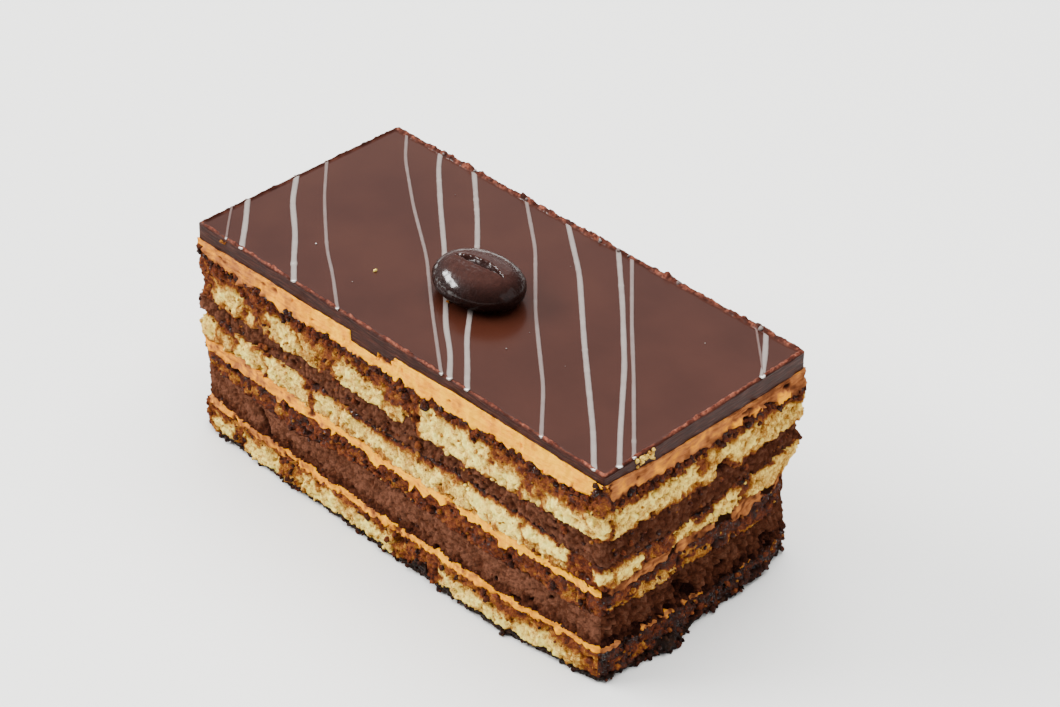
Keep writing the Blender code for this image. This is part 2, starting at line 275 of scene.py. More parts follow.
def sides_at(z):
    """Places on the plain cut sides at the heights z, and the directions out of them: the rim of the
    plan is drawn in to a smaller rectangle and pushed out again by the corner's radius. The foot
    spreads out under the front, the base has its lump, and two corners have crumbled unevenly."""
    below = 1 - z / slice_height
    radius = 0.45 + 1.3 * below
    inner_x = np.clip(rim_x, radius - slice_length / 2, slice_length / 2 - radius)
    inner_y = np.clip(rim_y, radius - slice_width / 2, slice_width / 2 - radius)
    out = np.stack([rim_x - inner_x, rim_y - inner_y, np.zeros_like(z)], axis=-1)
    out /= np.linalg.norm(out, axis=-1, keepdims=True)
    front_spread = 2.3 * eased((slice_length / 2 - rim_x) / 20)
    spread_y = np.interp(way, [front_right, 112.7, back_right, back_left, 202.7, 227.4, perimeter],
                         [0, 0, 1.2, 1.2, 0, 0, -2.3])
    spread_y = np.where(way < front_right, -front_spread, spread_y)
    spread_x = np.interp(way, [0, 4, 193.7, back_left, perimeter], [-0.3, 0, 0, -0.3, -0.3])
    right_side = (way > front_right) & (way < back_right)
    spread_x += np.where(right_side, 0.5 * eased(1 - np.abs(2 * rim_y / slice_width) ** 3), 0)
    lump = 1.9 * np.exp(-((rim_y + 7.2) / 2.6) ** 2) * eased(1 - z / 4.5) * right_side
    corner_away = np.hypot(rim_x - slice_length / 2, rim_y - slice_width / 2)
    crumbled = np.exp(-(corner_away / 3.2) ** 2) * np.interp(z, [
        0, 3, 6, 10, 15, 16.5, 18, 20, 22.5, 25, 26, 28, 29.5, 31],
        [1.5, 1.7, 1.6, 2.5, 2.4, 1.6, 0.5, 0.0, 0.7, 0.1, 0.3, -0.4, -0.5, 0])
    left_away = np.hypot(rim_x + slice_length / 2, rim_y + slice_width / 2)
    crumbled += np.exp(-(left_away / 2.4) ** 2) * np.interp(z, [
        0, 1, 3, 5, 7, 10, 12, 14, 16, 18, 19, 20.3, 21, 22, 24, 26, 27, 27.3, 28, 29, 30, 31, 32],
        [1.1, 0.6, 0.4, 0.8, 1.3, 1.1, 0.7, 0.5, 0.4, 0, 0.3, 0.8, -0.3, 0, 0.4, 0.6, 0.3, -0.2, -0.1, 0.25,
         0.1, -0.2, 0])
    x = inner_x + radius * out[..., 0] + spread_x * below + lump - crumbled * out[..., 0]
    y = inner_y + radius * out[..., 1] + spread_y * below - crumbled * out[..., 1]
    return np.stack([x, y, z], axis=-1), out


rim_places = np.stack([rim_x, rim_y, np.zeros(columns)], axis=-1)


def edge(front, right, back, wave, ragged, seed):
    """Height of a layer's upper edge round the slice: eased between the heights at its stations, with
    slow waves and three sizes of raggedness."""
    heights = np.array([*front, *right, back, front[0]])
    after = np.clip(np.searchsorted(stations, way, side="right"), 1, len(stations) - 1)
    share = (way - stations[after - 1]) / (stations[after] - stations[after - 1])
    height = heights[after - 1] + eased(share) * (heights[after] - heights[after - 1])
    height += wave * grain(rim_places, 6.0, seed)
    fine = 0.5 * grain(rim_places, 0.75, seed + 2) + 0.35 * grain(rim_places, 0.36, seed + 3)
    return height + ragged * (0.6 * grain(rim_places, 1.7, seed + 1) + fine)


def bumps(spots):
    """Rises along an edge: for each (middle, half width, rise) a bump with steep sides."""
    total = np.zeros(columns)
    for middle, half_width, rise in spots:
        away = np.abs((way - middle + perimeter / 2) % perimeter - perimeter / 2)
        total += rise * np.exp(-(away / half_width) ** 4)
    return total


class CutSide:
    """One layer's cut side as a grid: rows about 0.14 mm apart from its lower to its upper edge, each
    with the points round the slice. `like` is the way with which a point shares its patches: the back
    repeats the front from its left end, and the left side the right one from its front end. `skin` is
    filled in when the layer is made."""

    def __init__(self, lower, upper, least=6):
        upper = np.maximum(upper, lower + thinnest)
        rows = max(least, 1 + int(round(np.mean(upper - lower) / row_height)))
        self.rise = np.linspace(0, 1, rows)[:, None] + np.zeros(columns)
        self.z = lower + self.rise * (upper - lower)
        self.from_lower = self.z - lower
        self.to_upper = upper - self.z
        self.way = way + np.zeros_like(self.z)
        self.like = np.where(self.way > back_right, back_left - self.way, self.way)
        self.like = np.where(self.way > back_left, perimeter + slice_length - self.way, self.like)
        self.spot, self.out = sides_at(self.z)
        self.skin = self.spot

    def grain(self, size, seed):
        """The smooth noise at the plain side's places."""
        return grain(self.spot, size, seed)

    def lumps(self, size, seed):
        """The lumps at the plain side's places, and the number of each."""
        return lumps(self.spot, size, seed)

    def faces(self, long, short, corner=front_right):
        """One value on the two long sides and another on the two short ones."""
        return np.where(self.like > corner, short, long)

    def past(self, start, length):
        """Rises from 0 to 1 along the way, over `length` mm from its start."""
        return eased((self.like - start) / length)

    def before(self, end, length):
        """Falls from 1 to 0 along the way, over `length` mm up to its end."""
        return eased((end - self.like) / length)


def shell(name, rings, masks, finish):
    """Closed skins through rings of points (bodies, rings, points round, 3): quads join neighbouring
    rings, and fans join the first and the last ring to a point in its middle. A mask has one value
    for each point."""
    bodies, levels, turn = rings.shape[:3]
    count = levels * turn

    def with_ends(values):
        # The values of all points, and those in the middles of the first and the last ring.
        values = values.reshape(bodies, levels, turn, -1)
        ends = values[:, [0, -1]].mean(2)
        return np.concatenate([values.reshape(bodies, count, -1), ends], axis=1)

    points = with_ends(rings) * 0.001 + np.array(slice_middle)
    at = np.arange(turn)
    after = (at + 1) % turn
    level = turn * np.arange(levels - 1)[:, None]
    quads = np.stack([level + at, level + after, level + turn + after, level + turn + at], axis=-1)
    under = np.stack([at * 0 + count, after, at], axis=-1)
    over = np.stack([count - turn + at, count - turn + after, at * 0 + count + 1], axis=-1)
    corners = np.concatenate([quads.ravel(), under.ravel(), over.ravel()])
    corners = (corners + (count + 2) * np.arange(bodies)[:, None]).ravel()
    sizes = np.tile(np.concatenate([np.full(quads.size // 4, 4), np.full(2 * turn, 3)]), bodies)
    mesh = bpy.data.meshes.new(name)
    mesh.vertices.add(bodies * (count + 2))
    mesh.vertices.foreach_set("co", points.ravel().astype(np.float32))
    mesh.loops.add(len(corners))
    mesh.loops.foreach_set("vertex_index", corners.astype(np.int32))
    mesh.polygons.add(len(sizes))
    mesh.polygons.foreach_set("loop_start", (np.cumsum(sizes) - sizes).astype(np.int32))
    mesh.polygons.foreach_set("use_smooth", np.ones(len(sizes), bool))
    for title, mask in masks.items():
        values = with_ends(np.broadcast_to(mask, rings.shape[:3]))
        layer = mesh.attributes.new(title, "FLOAT", "POINT")
        layer.data.foreach_set("value", values.ravel().astype(np.float32))
    mesh.materials.append(finish.material)
    mesh.update(calc_edges=True)
    piece = bpy.data.objects.new(name, mesh)
    bpy.context.scene.collection.objects.link(piece)
    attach(piece, "root")
    return piece


def drawn_in(ring, share):
    """A ring of a layer's level face: its edge drawn in to the middle, and its waves with it."""
    drawn = ring * share
    drawn[:, 2] = ring[:, 2].mean() + (ring[:, 2] - ring[:, 2].mean()) * share
    return drawn


def cut_layer(name, side, relief, masks, finish):
    """A whole layer: its cut side pushed out by the relief, closed below and above by rings that draw
    in to the middle at the heights of its edges."""
    side.skin = side.spot + side.out * relief[..., None]
    lower = [drawn_in(side.skin[0], 0.5), drawn_in(side.skin[0], 0.93)]
    upper = [drawn_in(side.skin[-1], 0.93), drawn_in(side.skin[-1], 0.5)]
    padded = {title: np.pad(mask, ((2, 2), (0, 0)), mode="edge")[None] for title, mask in masks.items()}
    return shell(name, np.concatenate([lower, side.skin, upper])[None], padded, finish)


base_finish = Finish("base_chocolate")
base_cloud = base_finish.noise(base_finish.place(), 900.0, 4.0)
base_colour = base_finish.colours([(0.30, 17, 10, 7), (0.55, 32, 19, 13), (0.75, 61, 39, 26)], base_cloud)
base_finish.wear(Base_Color=base_colour, Roughness=0.42, Specular_IOR_Level=0.06,
                 Normal=base_finish.bump(base_cloud, 0.7, 0.0002))

base_top = edge((0.8, 0.8, 1.0, 1.2, 1.1), (0.9, 0.8, 0.8), 0.8, 0.2, 0.35, 3)
base_top += bumps([(47.9, 1.5, 1.7), (53.5, 1.3, 0.8), (91, 2, 1.7), (31, 0.7, 0.5), (140, 2, 1.1),
                   (171, 1.6, 0.9), (214, 1.5, 0.9)])
corner_lift = 1.5 * eased((way - 103) / 14) * eased((133 - way) / 14)       # at the back right corner
base_side = CutSide(corner_lift + 0.1 * np.abs(grain(rim_places, 1.2, 4)), base_top, 20)
base_relief = 0.35 * base_side.grain(2.2, 2) + 0.30 * base_side.lumps(0.7, 1)[0]
base_relief += 0.1 - 0.5 * (1 - base_side.rise) ** 2 + 0.14 * base_side.lumps(0.35, 6)[0]
base_piece = cut_layer("base_coat", base_side, base_relief, {}, base_finish)
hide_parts("base_chocolate")


# The bottom sponge: almond sponge, fine and pale inside, brushed with coffee syrup that has turned its
# upper half and the whole right end orange and red brown. The knife has torn it into crumbs and pits.
sponge_finish = Finish("almond_sponge")
sponge_place = sponge_finish.place()
sponge_crumb = sponge_finish.noise(sponge_place, 1500.0, 4.0, 0.65)
sponge_speck = sponge_finish.noise(sponge_place, 5200.0, 2.0)
# The soak and shade value goes from 0, dry and pale, to 1, black with syrup, and shifts with the crumb and
# its specks.
# On the cut layers it also holds painted shade: it is raised in the valleys and pits.
sponge_soak_and_shade = sponge_finish.mask("soak") + (sponge_crumb - 0.5) * 0.60 + (sponge_speck - 0.5) * 0.34
sponge_even = sponge_finish.colours([
    (0.00, 251, 232, 122), (0.12, 242, 208, 98), (0.24, 207, 166, 82), (0.34, 170, 120, 52),
    (0.44, 136, 83, 34), (0.54, 112, 61, 35), (0.66, 88, 43, 28), (0.80, 57, 33, 26),
    (1.00, 27, 16, 14)], sponge_soak_and_shade)
# Painted shade: where the deep mask marks valleys, the colour is multiplied by this grey brown.
valley_shade = tone(178, 160, 132)
sponge_colour = sponge_finish.mix(sponge_finish.mask("deep"), sponge_even, valley_shade, "MULTIPLY")
sponge_syrup = sponge_finish.node("ShaderNodeMapRange", {}, {
    "Value": sponge_speck + sponge_soak_and_shade * 0.35, "From Min": 0.84, "From Max": 0.96,
    "To Min": 0.0, "To Max": 0.8})
sponge_finish.wear(Base_Color=sponge_colour, Roughness=0.7, Specular_IOR_Level=0.0,
                   Coat_Weight=sponge_syrup, Coat_Roughness=0.22,
                   Normal=sponge_finish.bump(sponge_crumb + sponge_speck * 0.5, 0.9, 0.0004))


def blotches(side, spots, soft, seed):
    """Patches with torn edges: how deep a point lies inside the nearest of the (from, to, low, high)
    boxes once its place has been shaken by noise, eased over `soft` mm."""
    along = side.like + 0.9 * side.grain(1.9, seed) + 0.5 * side.grain(0.7, seed + 1)
    up = side.z + 0.7 * side.grain(1.7, seed + 2) + 0.45 * side.grain(0.6, seed + 3)
    inside = np.full(side.z.shape, -9.0)
    for start, end, low, high in spots:
        reach = np.minimum(np.minimum(along - start, end - along), np.minimum(up - low, high - up))
        inside = np.maximum(inside, reach)
    return eased(0.5 + inside / soft)


def crumb_relief(side, seed):
    """The torn face of a sponge: slow crags, two sizes of crumb and a fine grain. Gives the relief,
    the depth of its valleys from 0 to 1, which is used as painted shade, and a number for each crumb."""
    coarse, number = side.lumps(1.25, seed)
    fine, fine_number = side.lumps(0.58, seed + 1)
    relief = 0.34 * side.grain(3.8, seed + 2) + 0.26 * side.grain(1.6, seed + 3)
    relief += 0.25 * coarse + 0.19 * fine + 0.08 * side.grain(0.33, seed + 4)
    valley_shading = np.clip(0.25 - 0.8 * coarse - 0.9 * fine, 0, 1)
    return relief, valley_shading, 0.5 * number + 0.5 * fine_number


def pits(side, spots, seed):
    """Holes in the crumb: for each (way, z, half width, half height) 1 in the middle and 0 outside."""
    along = side.like + 0.25 * side.grain(0.8, seed)
    up = side.z + 0.2 * side.grain(0.8, seed + 1)
    hole = np.zeros(side.z.shape)
    for at, z, half_width, half_height in spots:
        away = np.hypot((along - at) / half_width, (up - z) / half_height)
        hole = np.maximum(hole, eased(1.6 - 1.3 * away))
    return hole


bottom_top = edge((4.9, 4.5, 4.9, 5.6, 5.2), (5.0, 4.4, 4.1), 4.8, 0.35, 0.70, 8)
bottom_side = CutSide(base_top, bottom_top)
bottom_relief, bottom_valley_shade, bottom_number = crumb_relief(bottom_side, 10)
bottom_pale = blotches(bottom_side, [
    (3.3, 7.2, 0.9, 3.4), (10.3, 17.6, 0.6, 3.7), (22.5, 42.2, 0.6, 3.7), (52, 77, 0.6, 3.6)], 1.8, 15)
bottom_yellow = blotches(bottom_side, [
    (32.3, 34, 1.0, 3.8), (74, 77.3, 0.8, 3.2), (18, 21.5, 0.5, 3.2), (85, 88, 1.6, 3.4),
    (82, 83.5, 2.4, 3.6)], 0.8, 19)
bottom_hole = pits(bottom_side, [
    (43.4, 3.8, 0.9, 1.2), (62, 3.6, 0.6, 0.4), (97.5, 2.0, 1.4, 0.8), (104, 3.0, 1.0, 0.7),
    (110, 2.2, 1.2, 0.8)], 23)
bottom_soak_and_shade = bottom_side.faces(0.56, 0.85, 79.5) + 0.18 * bottom_side.grain(1.4, 25)
bottom_soak_and_shade += (0.10 + 0.13 * bottom_side.grain(1.8, 26) - bottom_soak_and_shade) * bottom_pale
bottom_soak_and_shade += (0.38 - bottom_soak_and_shade) * bottom_yellow * 0.8
# Painted shade: the soak is raised in the valleys between crumbs and in the pits.
bottom_soak_and_shade += 0.22 * (bottom_number - 0.5) + 0.08 * bottom_valley_shade + 0.2 * bottom_hole
bottom_relief += 0.10 * bottom_pale - 0.9 * bottom_hole
bottom_piece = cut_layer("bottom_sponge", bottom_side, bottom_relief,
                         {"soak": bottom_soak_and_shade, "deep": bottom_valley_shade}, sponge_finish)
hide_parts("sponge_bottom")


# The lower buttercream: a thin layer of coffee buttercream spread on the soaked sponge, smooth where
# the knife has dragged it along and torn into flakes where crumbs were pulled through it.
cream_finish = Finish("coffee_buttercream")
cream_place = cream_finish.place()
cream_long = cream_finish.node("ShaderNodeVectorMath", {"operation": "MULTIPLY"}, {
    0: cream_place, 1: (0.16, 0.16, 1.0)})
cream_drag = cream_finish.noise(cream_long, 2600.0, 3.0)
cream_cloud = cream_finish.noise(cream_place, 420.0, 3.0)
# The smear and shade value goes from 0, clean cream, to 1, cream black with crumbs. It also holds painted
# shade: darker on the short sides, towards the left end of the long sides and in some pits.
cream_tone = cream_finish.mask("smear") + (cream_drag - 0.5) * 0.42 + (cream_cloud - 0.5) * 0.55
cream_colour = cream_finish.colours([
    (0.00, 250, 176, 8), (0.20, 234, 149, 16), (0.45, 160, 98, 54), (0.65, 108, 62, 36),
    (0.85, 64, 33, 22), (1.00, 33, 17, 11)], cream_tone)
cream_finish.wear(Base_Color=cream_colour, Roughness=0.46, Specular_IOR_Level=0.0,
                  Normal=cream_finish.bump(cream_drag + cream_cloud * 0.8, 0.8, 0.0003))


def cream_relief(side, seed):
    """A face dragged by the knife: low long marks one above the other, slow swells, small open pits,
    and edges that curl out in flakes where they are thin."""
    long_marks = side.spot * np.array([0.14, 0.14, 1.0])
    relief = 0.12 * grain(long_marks, 0.6, seed) + 0.20 * side.grain(3.0, seed + 1)
    relief += 0.12 * side.grain(1.0, seed + 5) - 0.9 * np.clip(side.grain(0.7, seed + 6) - 0.55, 0, 1)
    flake = np.clip(side.grain(1.1, seed + 2) + 0.4 * side.grain(0.5, seed + 3), 0, 1)
    near_edge = np.exp(-np.minimum(side.from_lower, side.to_upper) / 0.3)
    return relief + 0.48 * flake * near_edge + 0.08 * side.grain(0.45, seed + 4)


def thin_smear_and_shade(side, clean, swell, swell_size, torn, torn_smear, left_shade, seed):
    """How crumbs have coloured a thin cream layer, with painted shade: the clean tone with slow and fine
    swells, darker where it is torn and in small stains, and painted darker towards the left end as shade."""
    smear = clean + swell * side.grain(swell_size, seed) + 0.10 * side.grain(0.7, seed + 2)
    smear += torn_smear * torn + 0.5 * np.clip(side.grain(0.9, seed + 1) - 0.15, 0, 1)
    return smear + left_shade * side.before(30, 20)


low_cream_top = edge((6.2, 5.9, 6.1, 6.9, 6.4), (5.9, 5.0, 4.9), 6.0, 0.28, 0.45, 30)
low_cream_side = CutSide(bottom_top, low_cream_top)
low_cream_torn = blotches(low_cream_side, [
    (7.0, 8.2, 4.4, 5.2), (19.4, 21.2, 3.0, 5.0), (42, 43.8, 4.6, 5.6), (48, 49.6, 4.6, 5.6),
    (70.2, 71.4, 4.8, 5.8), (83.2, 87, 2, 8), (89.8, 91, 2, 8), (93.2, 95, 2, 8), (98.6, 106.6, 2, 8),
    (108.4, 118, 2, 8)], 0.4, 37)
low_cream_relief = cream_relief(low_cream_side, 33) + 0.12 - 0.35 * low_cream_torn
low_cream_smear_and_shade = thin_smear_and_shade(low_cream_side, 0.18, 0.16, 2.2, low_cream_torn, 0.58, 0.14, 41)
# Painted shade: darker on the short sides.
low_cream_smear_and_shade += low_cream_side.faces(0, 0.22)
low_cream_piece = cut_layer("lower_buttercream", low_cream_side, low_cream_relief,
                            {"smear": low_cream_smear_and_shade}, cream_finish)
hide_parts("buttercream_lower")


# The thick ganache: chocolate and cream, set firm and cut. Its face is fine grained and matte, mauve
# brown where it was cut clean, and darker and crumbly in its lower third. It is crumbly at the right end
# too, and painted darker there as shade; its grooves and pits are painted darker and its lump tops lighter.
ganache_finish = Finish("ganache")
ganache_place = ganache_finish.place()
ganache_cloud = ganache_finish.noise(ganache_place, 800.0, 4.0, 0.6)
ganache_speck = ganache_finish.noise(ganache_place, 4200.0, 2.0)
ganache_tone = ganache_finish.mask("dark") + (ganache_cloud - 0.5) * 0.7 + (ganache_speck - 0.5) * 0.5
ganache_colour = ganache_finish.colours([
    (0.00, 100, 63, 47), (0.25, 80, 48, 34), (0.50, 65, 34, 22), (0.75, 49, 25, 17),
    (1.00, 25, 11, 9)], ganache_tone)
ganache_finish.wear(Base_Color=ganache_colour, Roughness=0.5, Specular_IOR_Level=0.0,
                    Normal=ganache_finish.bump(ganache_cloud + ganache_speck * 0.7, 0.9, 0.0003))


def gouge(side, course, half_width):
    """A torn groove along a course of (way, z) points: 1 on the course and 0 past its half width."""
    shake = 1 + 0.4 * side.grain(0.9, 50)
    deep = np.zeros(side.z.shape)
    for (way_0, z_0), (way_1, z_1) in zip(course, course[1:]):
        step = (way_1 - way_0, z_1 - z_0)
        share = ((side.like - way_0) * step[0] + (side.z - z_0) * step[1]) / (step[0] ** 2 + step[1] ** 2)
        share = np.clip(share, 0, 1)
        away = np.hypot(side.like - way_0 - share * step[0], side.z - z_0 - share * step[1])
        deep = np.maximum(deep, eased(1.3 - away / (half_width * shake)))
    return deep


thick_top = edge((11.2, 10.4, 11.9, 11.9, 11.5), (11.3, 10.4, 10.9), 11.0, 0.40, 0.35, 52)
thick_side = CutSide(low_cream_top, thick_top)
thick_crag, thick_number = thick_side.lumps(0.8, 55)
thick_fine = thick_side.lumps(0.38, 56)[0]
thick_groove = np.maximum(gouge(thick_side, [(13.9, 9.9), (14.6, 8.2), (16.0, 6.6)], 0.55),
                          gouge(thick_side, [(93.4, 10.3), (94.6, 8.2), (96.4, 6.6)], 0.9))
thick_groove = np.maximum(thick_groove, pits(thick_side, [
    (102, 7.8, 1.1, 0.5), (22.4, 10.6, 0.9, 0.5), (51, 7.0, 0.7, 0.4), (111, 7.4, 1.0, 0.6),
    (58.5, 6.9, 0.7, 0.4), (66, 7.3, 0.9, 0.4), (46, 7.9, 0.5, 0.3), (52.5, 8.2, 0.5, 0.3),
    (62.6, 8.6, 0.4, 0.3), (68.4, 8.3, 0.4, 0.3), (71.5, 10.4, 0.4, 0.3), (26.8, 7.4, 0.8, 0.3),
    (34, 7.3, 0.5, 0.3)], 57))
thick_low = eased(1.25 - thick_side.from_lower / 1.9 + 0.5 * thick_side.grain(2.0, 58))
thick_relief = 0.24 * thick_side.grain(3.6, 59) + 0.16 * thick_side.grain(1.2, 60)
thick_rough = thick_side.faces(0.14, 0.50) + 0.16 * thick_low
thick_relief += thick_rough * thick_crag + 0.16 * thick_fine - 0.8 * thick_groove
# The darkness holds painted shade: more in the grooves and on the short sides, less on the lump tops.
thick_dark = 0.24 + 0.18 * thick_side.grain(2.6, 61) + 0.38 * thick_low + 0.5 * thick_groove
thick_dark += 0.16 * thick_side.grain(0.8, 62) - 0.12 * thick_crag - 0.10 * thick_fine
thick_dark += thick_side.faces(0, 0.30) + thick_side.faces(0.16, 0.34) * (thick_number - 0.5)
thick_piece = cut_layer("thick_ganache", thick_side, thick_relief, {"dark": thick_dark},
                        ganache_finish)
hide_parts("ganache_thick")


# The soaked sponge: a thin almond sponge drenched with coffee syrup until it is dark and moist right
# through, with a few yellow streaks that stayed drier. Buttercream blobs hang down over it.
soaked_top = edge((14.0, 14.3, 14.8, 15.4, 14.8), (14.8, 14.2, 14.5), 14.4, 0.35, 0.50, 65)
soaked_top += bumps([
    (17.8, 0.6, -1.0), (38.2, 1.0, -1.1), (45.6, 0.35, -1.2), (47.8, 1.2, -0.9), (63.4, 0.8, -0.9),
    (29.4, 0.35, -0.9), (105, 0.9, -0.9), (107.4, 1.1, -0.9), (72.3, 0.4, -0.6), (52, 0.5, -0.5),
    (57.2, 0.4, -0.4), (66.4, 0.4, -0.5), (77, 0.6, -0.4)])
soaked_side = CutSide(thick_top, soaked_top)
soaked_relief, soaked_valley_shade, soaked_number = crumb_relief(soaked_side, 70)
soaked_yellow = blotches(soaked_side, [
    (2, 9, 11.6, 12.8), (10.5, 14.5, 11.4, 12.6), (16.5, 20, 11.2, 12.4), (74.3, 76.4, 11.8, 13.6),
    (81.4, 84.6, 11.6, 12.9), (85.5, 93.9, 11.3, 13.3), (94.4, 100.5, 10.9, 12.5),
    (95, 97.2, 12.9, 14.2), (103.5, 108.5, 10.3, 11.4), (109, 110.4, 9.7, 10.9)], 0.7, 75)
soaked_half = blotches(soaked_side, [
    (30, 36, 12.0, 13.4), (52, 56, 12.4, 13.8), (82, 84.5, 12.8, 14.6), (66, 71, 12.0, 13.4),
    (40.5, 43.5, 12.4, 13.8)], 0.9, 79)
soaked_hole = pits(soaked_side, [
    (23.8, 11.5, 1.2, 0.5), (39, 12.6, 1.4, 0.4), (49.9, 12.5, 0.9, 0.7), (64.5, 12.8, 1.0, 0.8),
    (8, 13.6, 0.8, 0.4), (94, 13.0, 0.8, 0.8), (101.5, 12.0, 1.2, 0.7), (112, 12.5, 1.0, 0.8)], 83)
soaked_soak_and_shade = 0.66 + 0.16 * soaked_side.grain(1.3, 85) + soaked_side.faces(0, 0.10)
# Painted shade and light: darker towards the left end of the long sides, a little paler past their middle.
soaked_soak_and_shade += 0.05 * soaked_side.before(30, 10) - soaked_side.faces(0.02, 0) * soaked_side.past(36, 10)
streak_soak = np.where(soaked_side.like > 94, 0.36, soaked_side.faces(0.40, 0.27))
soaked_soak_and_shade += (streak_soak - soaked_soak_and_shade) * soaked_yellow * 0.85
soaked_soak_and_shade += (0.52 - soaked_soak_and_shade) * soaked_half * 0.7
# Painted shade: the soak is raised in the valleys between crumbs and in the pits.
soaked_soak_and_shade += 0.16 * (soaked_number - 0.5) + 0.06 * soaked_valley_shade + 0.2 * soaked_hole
soaked_relief += -0.9 * soaked_hole - 0.10
soaked_piece = cut_layer("soaked_sponge", soaked_side, soaked_relief,
                         {"soak": soaked_soak_and_shade, "deep": soaked_valley_shade}, sponge_finish)
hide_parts("sponge_soaked")


# The middle buttercream: the same coffee buttercream, a thin tan line whose lower edge hangs in small
# blobs over the soaked sponge. On the right side it is painted darker and browner as shade.
mid_cream_top = edge((16.3, 16.1, 15.9, 16.6, 15.9), (16.5, 16.1, 15.9), 16.1, 0.25, 0.42, 90)
mid_cream_side = CutSide(soaked_top, mid_cream_top)
mid_cream_torn = blotches(mid_cream_side, [
    (41, 42.6, 13.5, 15.2), (53, 54.6, 14, 16), (24.6, 25.6, 14.6, 17), (101, 104, 13, 17),
    (109.8, 112.4, 13, 17), (80.3, 81.4, 14, 16), (92, 93, 14, 17)], 0.4, 97)
mid_cream_relief = cream_relief(mid_cream_side, 93) + 0.16 - 0.3 * mid_cream_torn
mid_cream_smear_and_shade = thin_smear_and_shade(mid_cream_side, 0.10, 0.14, 1.9, mid_cream_torn, 0.55, 0.22, 101)
# Painted light and shade: paler towards the right of the long sides, darker on the short ones.
mid_cream_smear_and_shade += mid_cream_side.faces(-0.10 * mid_cream_side.past(40, 20), 0.46)
mid_cream_piece = cut_layer("middle_buttercream", mid_cream_side, mid_cream_relief,
                            {"smear": mid_cream_smear_and_shade}, cream_finish)
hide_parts("buttercream_middle")


# The middle sponge: the palest layer, dry almond sponge for most of its height, with a soaked orange
# upper edge, some orange spots along the buttercream and one dark soaked break near the right corner.
mid_top = edge((20.4, 20.4, 20.3, 21.4, 20.0), (19.2, 19.7, 20.3), 20.3, 0.35, 0.45, 105)
mid_side = CutSide(mid_cream_top, mid_top)
mid_relief, mid_valley_shade, mid_number = crumb_relief(mid_side, 110)
mid_pale = blotches(mid_side, [
    (-1, 3.6, 16.3, 20), (4.8, 7.3, 16.3, 18.6), (8.2, 14.6, 15.8, 20.2), (15, 24.3, 15.8, 20.4),
    (25.8, 36.5, 15.8, 19.6), (36, 50.8, 15.8, 19), (50, 66.6, 16, 20.4), (67.2, 74.5, 16.4, 19.9),
    (77.8, 82, 17, 19.3), (82, 87, 16, 18.8), (92.8, 96.8, 15.8, 19), (96.6, 100.2, 15.8, 18),
    (100, 105.4, 15.6, 19.4), (107.5, 118.7, 15.5, 20.2)], 1.8, 115)
mid_spots = blotches(mid_side, [
    (30, 31.5, 15.8, 17.4), (32.5, 34, 15.8, 17.2), (35, 36, 15.8, 17.2), (38, 41, 15.8, 17.3),
    (51, 54, 16, 17.4), (56.5, 58, 16.2, 17.3), (60, 63, 16.2, 17.7), (66.4, 69, 16.2, 18.3),
    (70.5, 75, 16, 17.9), (5.5, 7.2, 15.8, 16.8), (84, 87, 15.8, 16.7), (93.5, 98, 15.6, 16.6),
    (11, 12.5, 19.4, 20.8), (44, 46, 18.8, 20.2), (30, 32, 19, 20.5)], 0.8, 119)
mid_dark = blotches(mid_side, [
    (74.6, 79, 15.6, 17.9), (75.4, 82, 19.2, 21.6), (23.4, 25.8, 18.6, 21)], 0.8, 123)
mid_hole = pits(mid_side, [
    (93.2, 18.2, 0.45, 0.35), (20.5, 18.6, 0.35, 0.25), (46.5, 17.6, 0.4, 0.25),
    (62, 18.8, 0.35, 0.25), (104, 17.6, 0.5, 0.4)], 125)
mid_soak_and_shade = 0.62 + 0.18 * mid_side.grain(1.4, 127) + 0.24 * eased(1.1 - mid_side.to_upper)
mid_dry = 0.15 + 0.10 * mid_side.past(103, 4) - mid_side.faces(
    0.12 * mid_side.past(50, 12), 0.06 * mid_side.before(90, 2))
mid_soak_and_shade += (mid_dry + 0.13 * mid_side.grain(2.0, 128) - mid_soak_and_shade) * mid_pale
mid_soak_and_shade += (0.43 - mid_soak_and_shade) * mid_spots * 0.8 + (0.70 - mid_soak_and_shade) * mid_dark * 0.8
# Painted shade: the soak is raised in the valleys between crumbs and in the pits.
mid_soak_and_shade += 0.20 * (mid_number - 0.5) + 0.08 * mid_valley_shade + 0.3 * mid_hole
mid_relief += 0.12 * mid_pale - 0.7 * mid_hole - 0.25 * mid_dark
mid_piece = cut_layer("middle_sponge", mid_side, mid_relief, {"soak": mid_soak_and_shade, "deep": mid_valley_shade},
                      sponge_finish)
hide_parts("sponge_middle")


# The upper ganache: a thinner layer of the same ganache, warmer and rougher, with orange crumbs drawn
# into it from the sponges on both sides.
upper_top = edge((23.0, 23.2, 23.4, 23.8, 24.3), (23.5, 22.9, 23.6), 23.3, 0.32, 0.45, 130)
upper_top += bumps([(45, 1.2, 1.6), (13.8, 1.0, 0.8), (28.5, 1.2, 0.8), (101.9, 1.5, 1.5)])
upper_side = CutSide(mid_top, upper_top)
upper_crag, upper_number = upper_side.lumps(0.75, 133)
upper_fine = upper_side.lumps(0.36, 134)[0]
upper_hole = pits(upper_side, [
    (46.6, 23.4, 0.7, 0.5), (102, 24.2, 1.3, 0.8), (21, 21.6, 0.7, 0.4), (34.5, 22.0, 0.6, 0.4),
    (58, 22.6, 0.8, 0.4), (88, 21.5, 0.7, 0.5)], 135)
upper_relief = 0.28 * upper_side.grain(3.2, 136) + 0.20 * upper_side.grain(1.2, 137)
upper_relief += 0.26 * upper_crag + 0.14 * upper_fine - 0.6 * upper_hole - 0.05
upper_dark = 0.36 + 0.18 * upper_side.grain(1.8, 138) + 0.22 * (upper_number - 0.5)
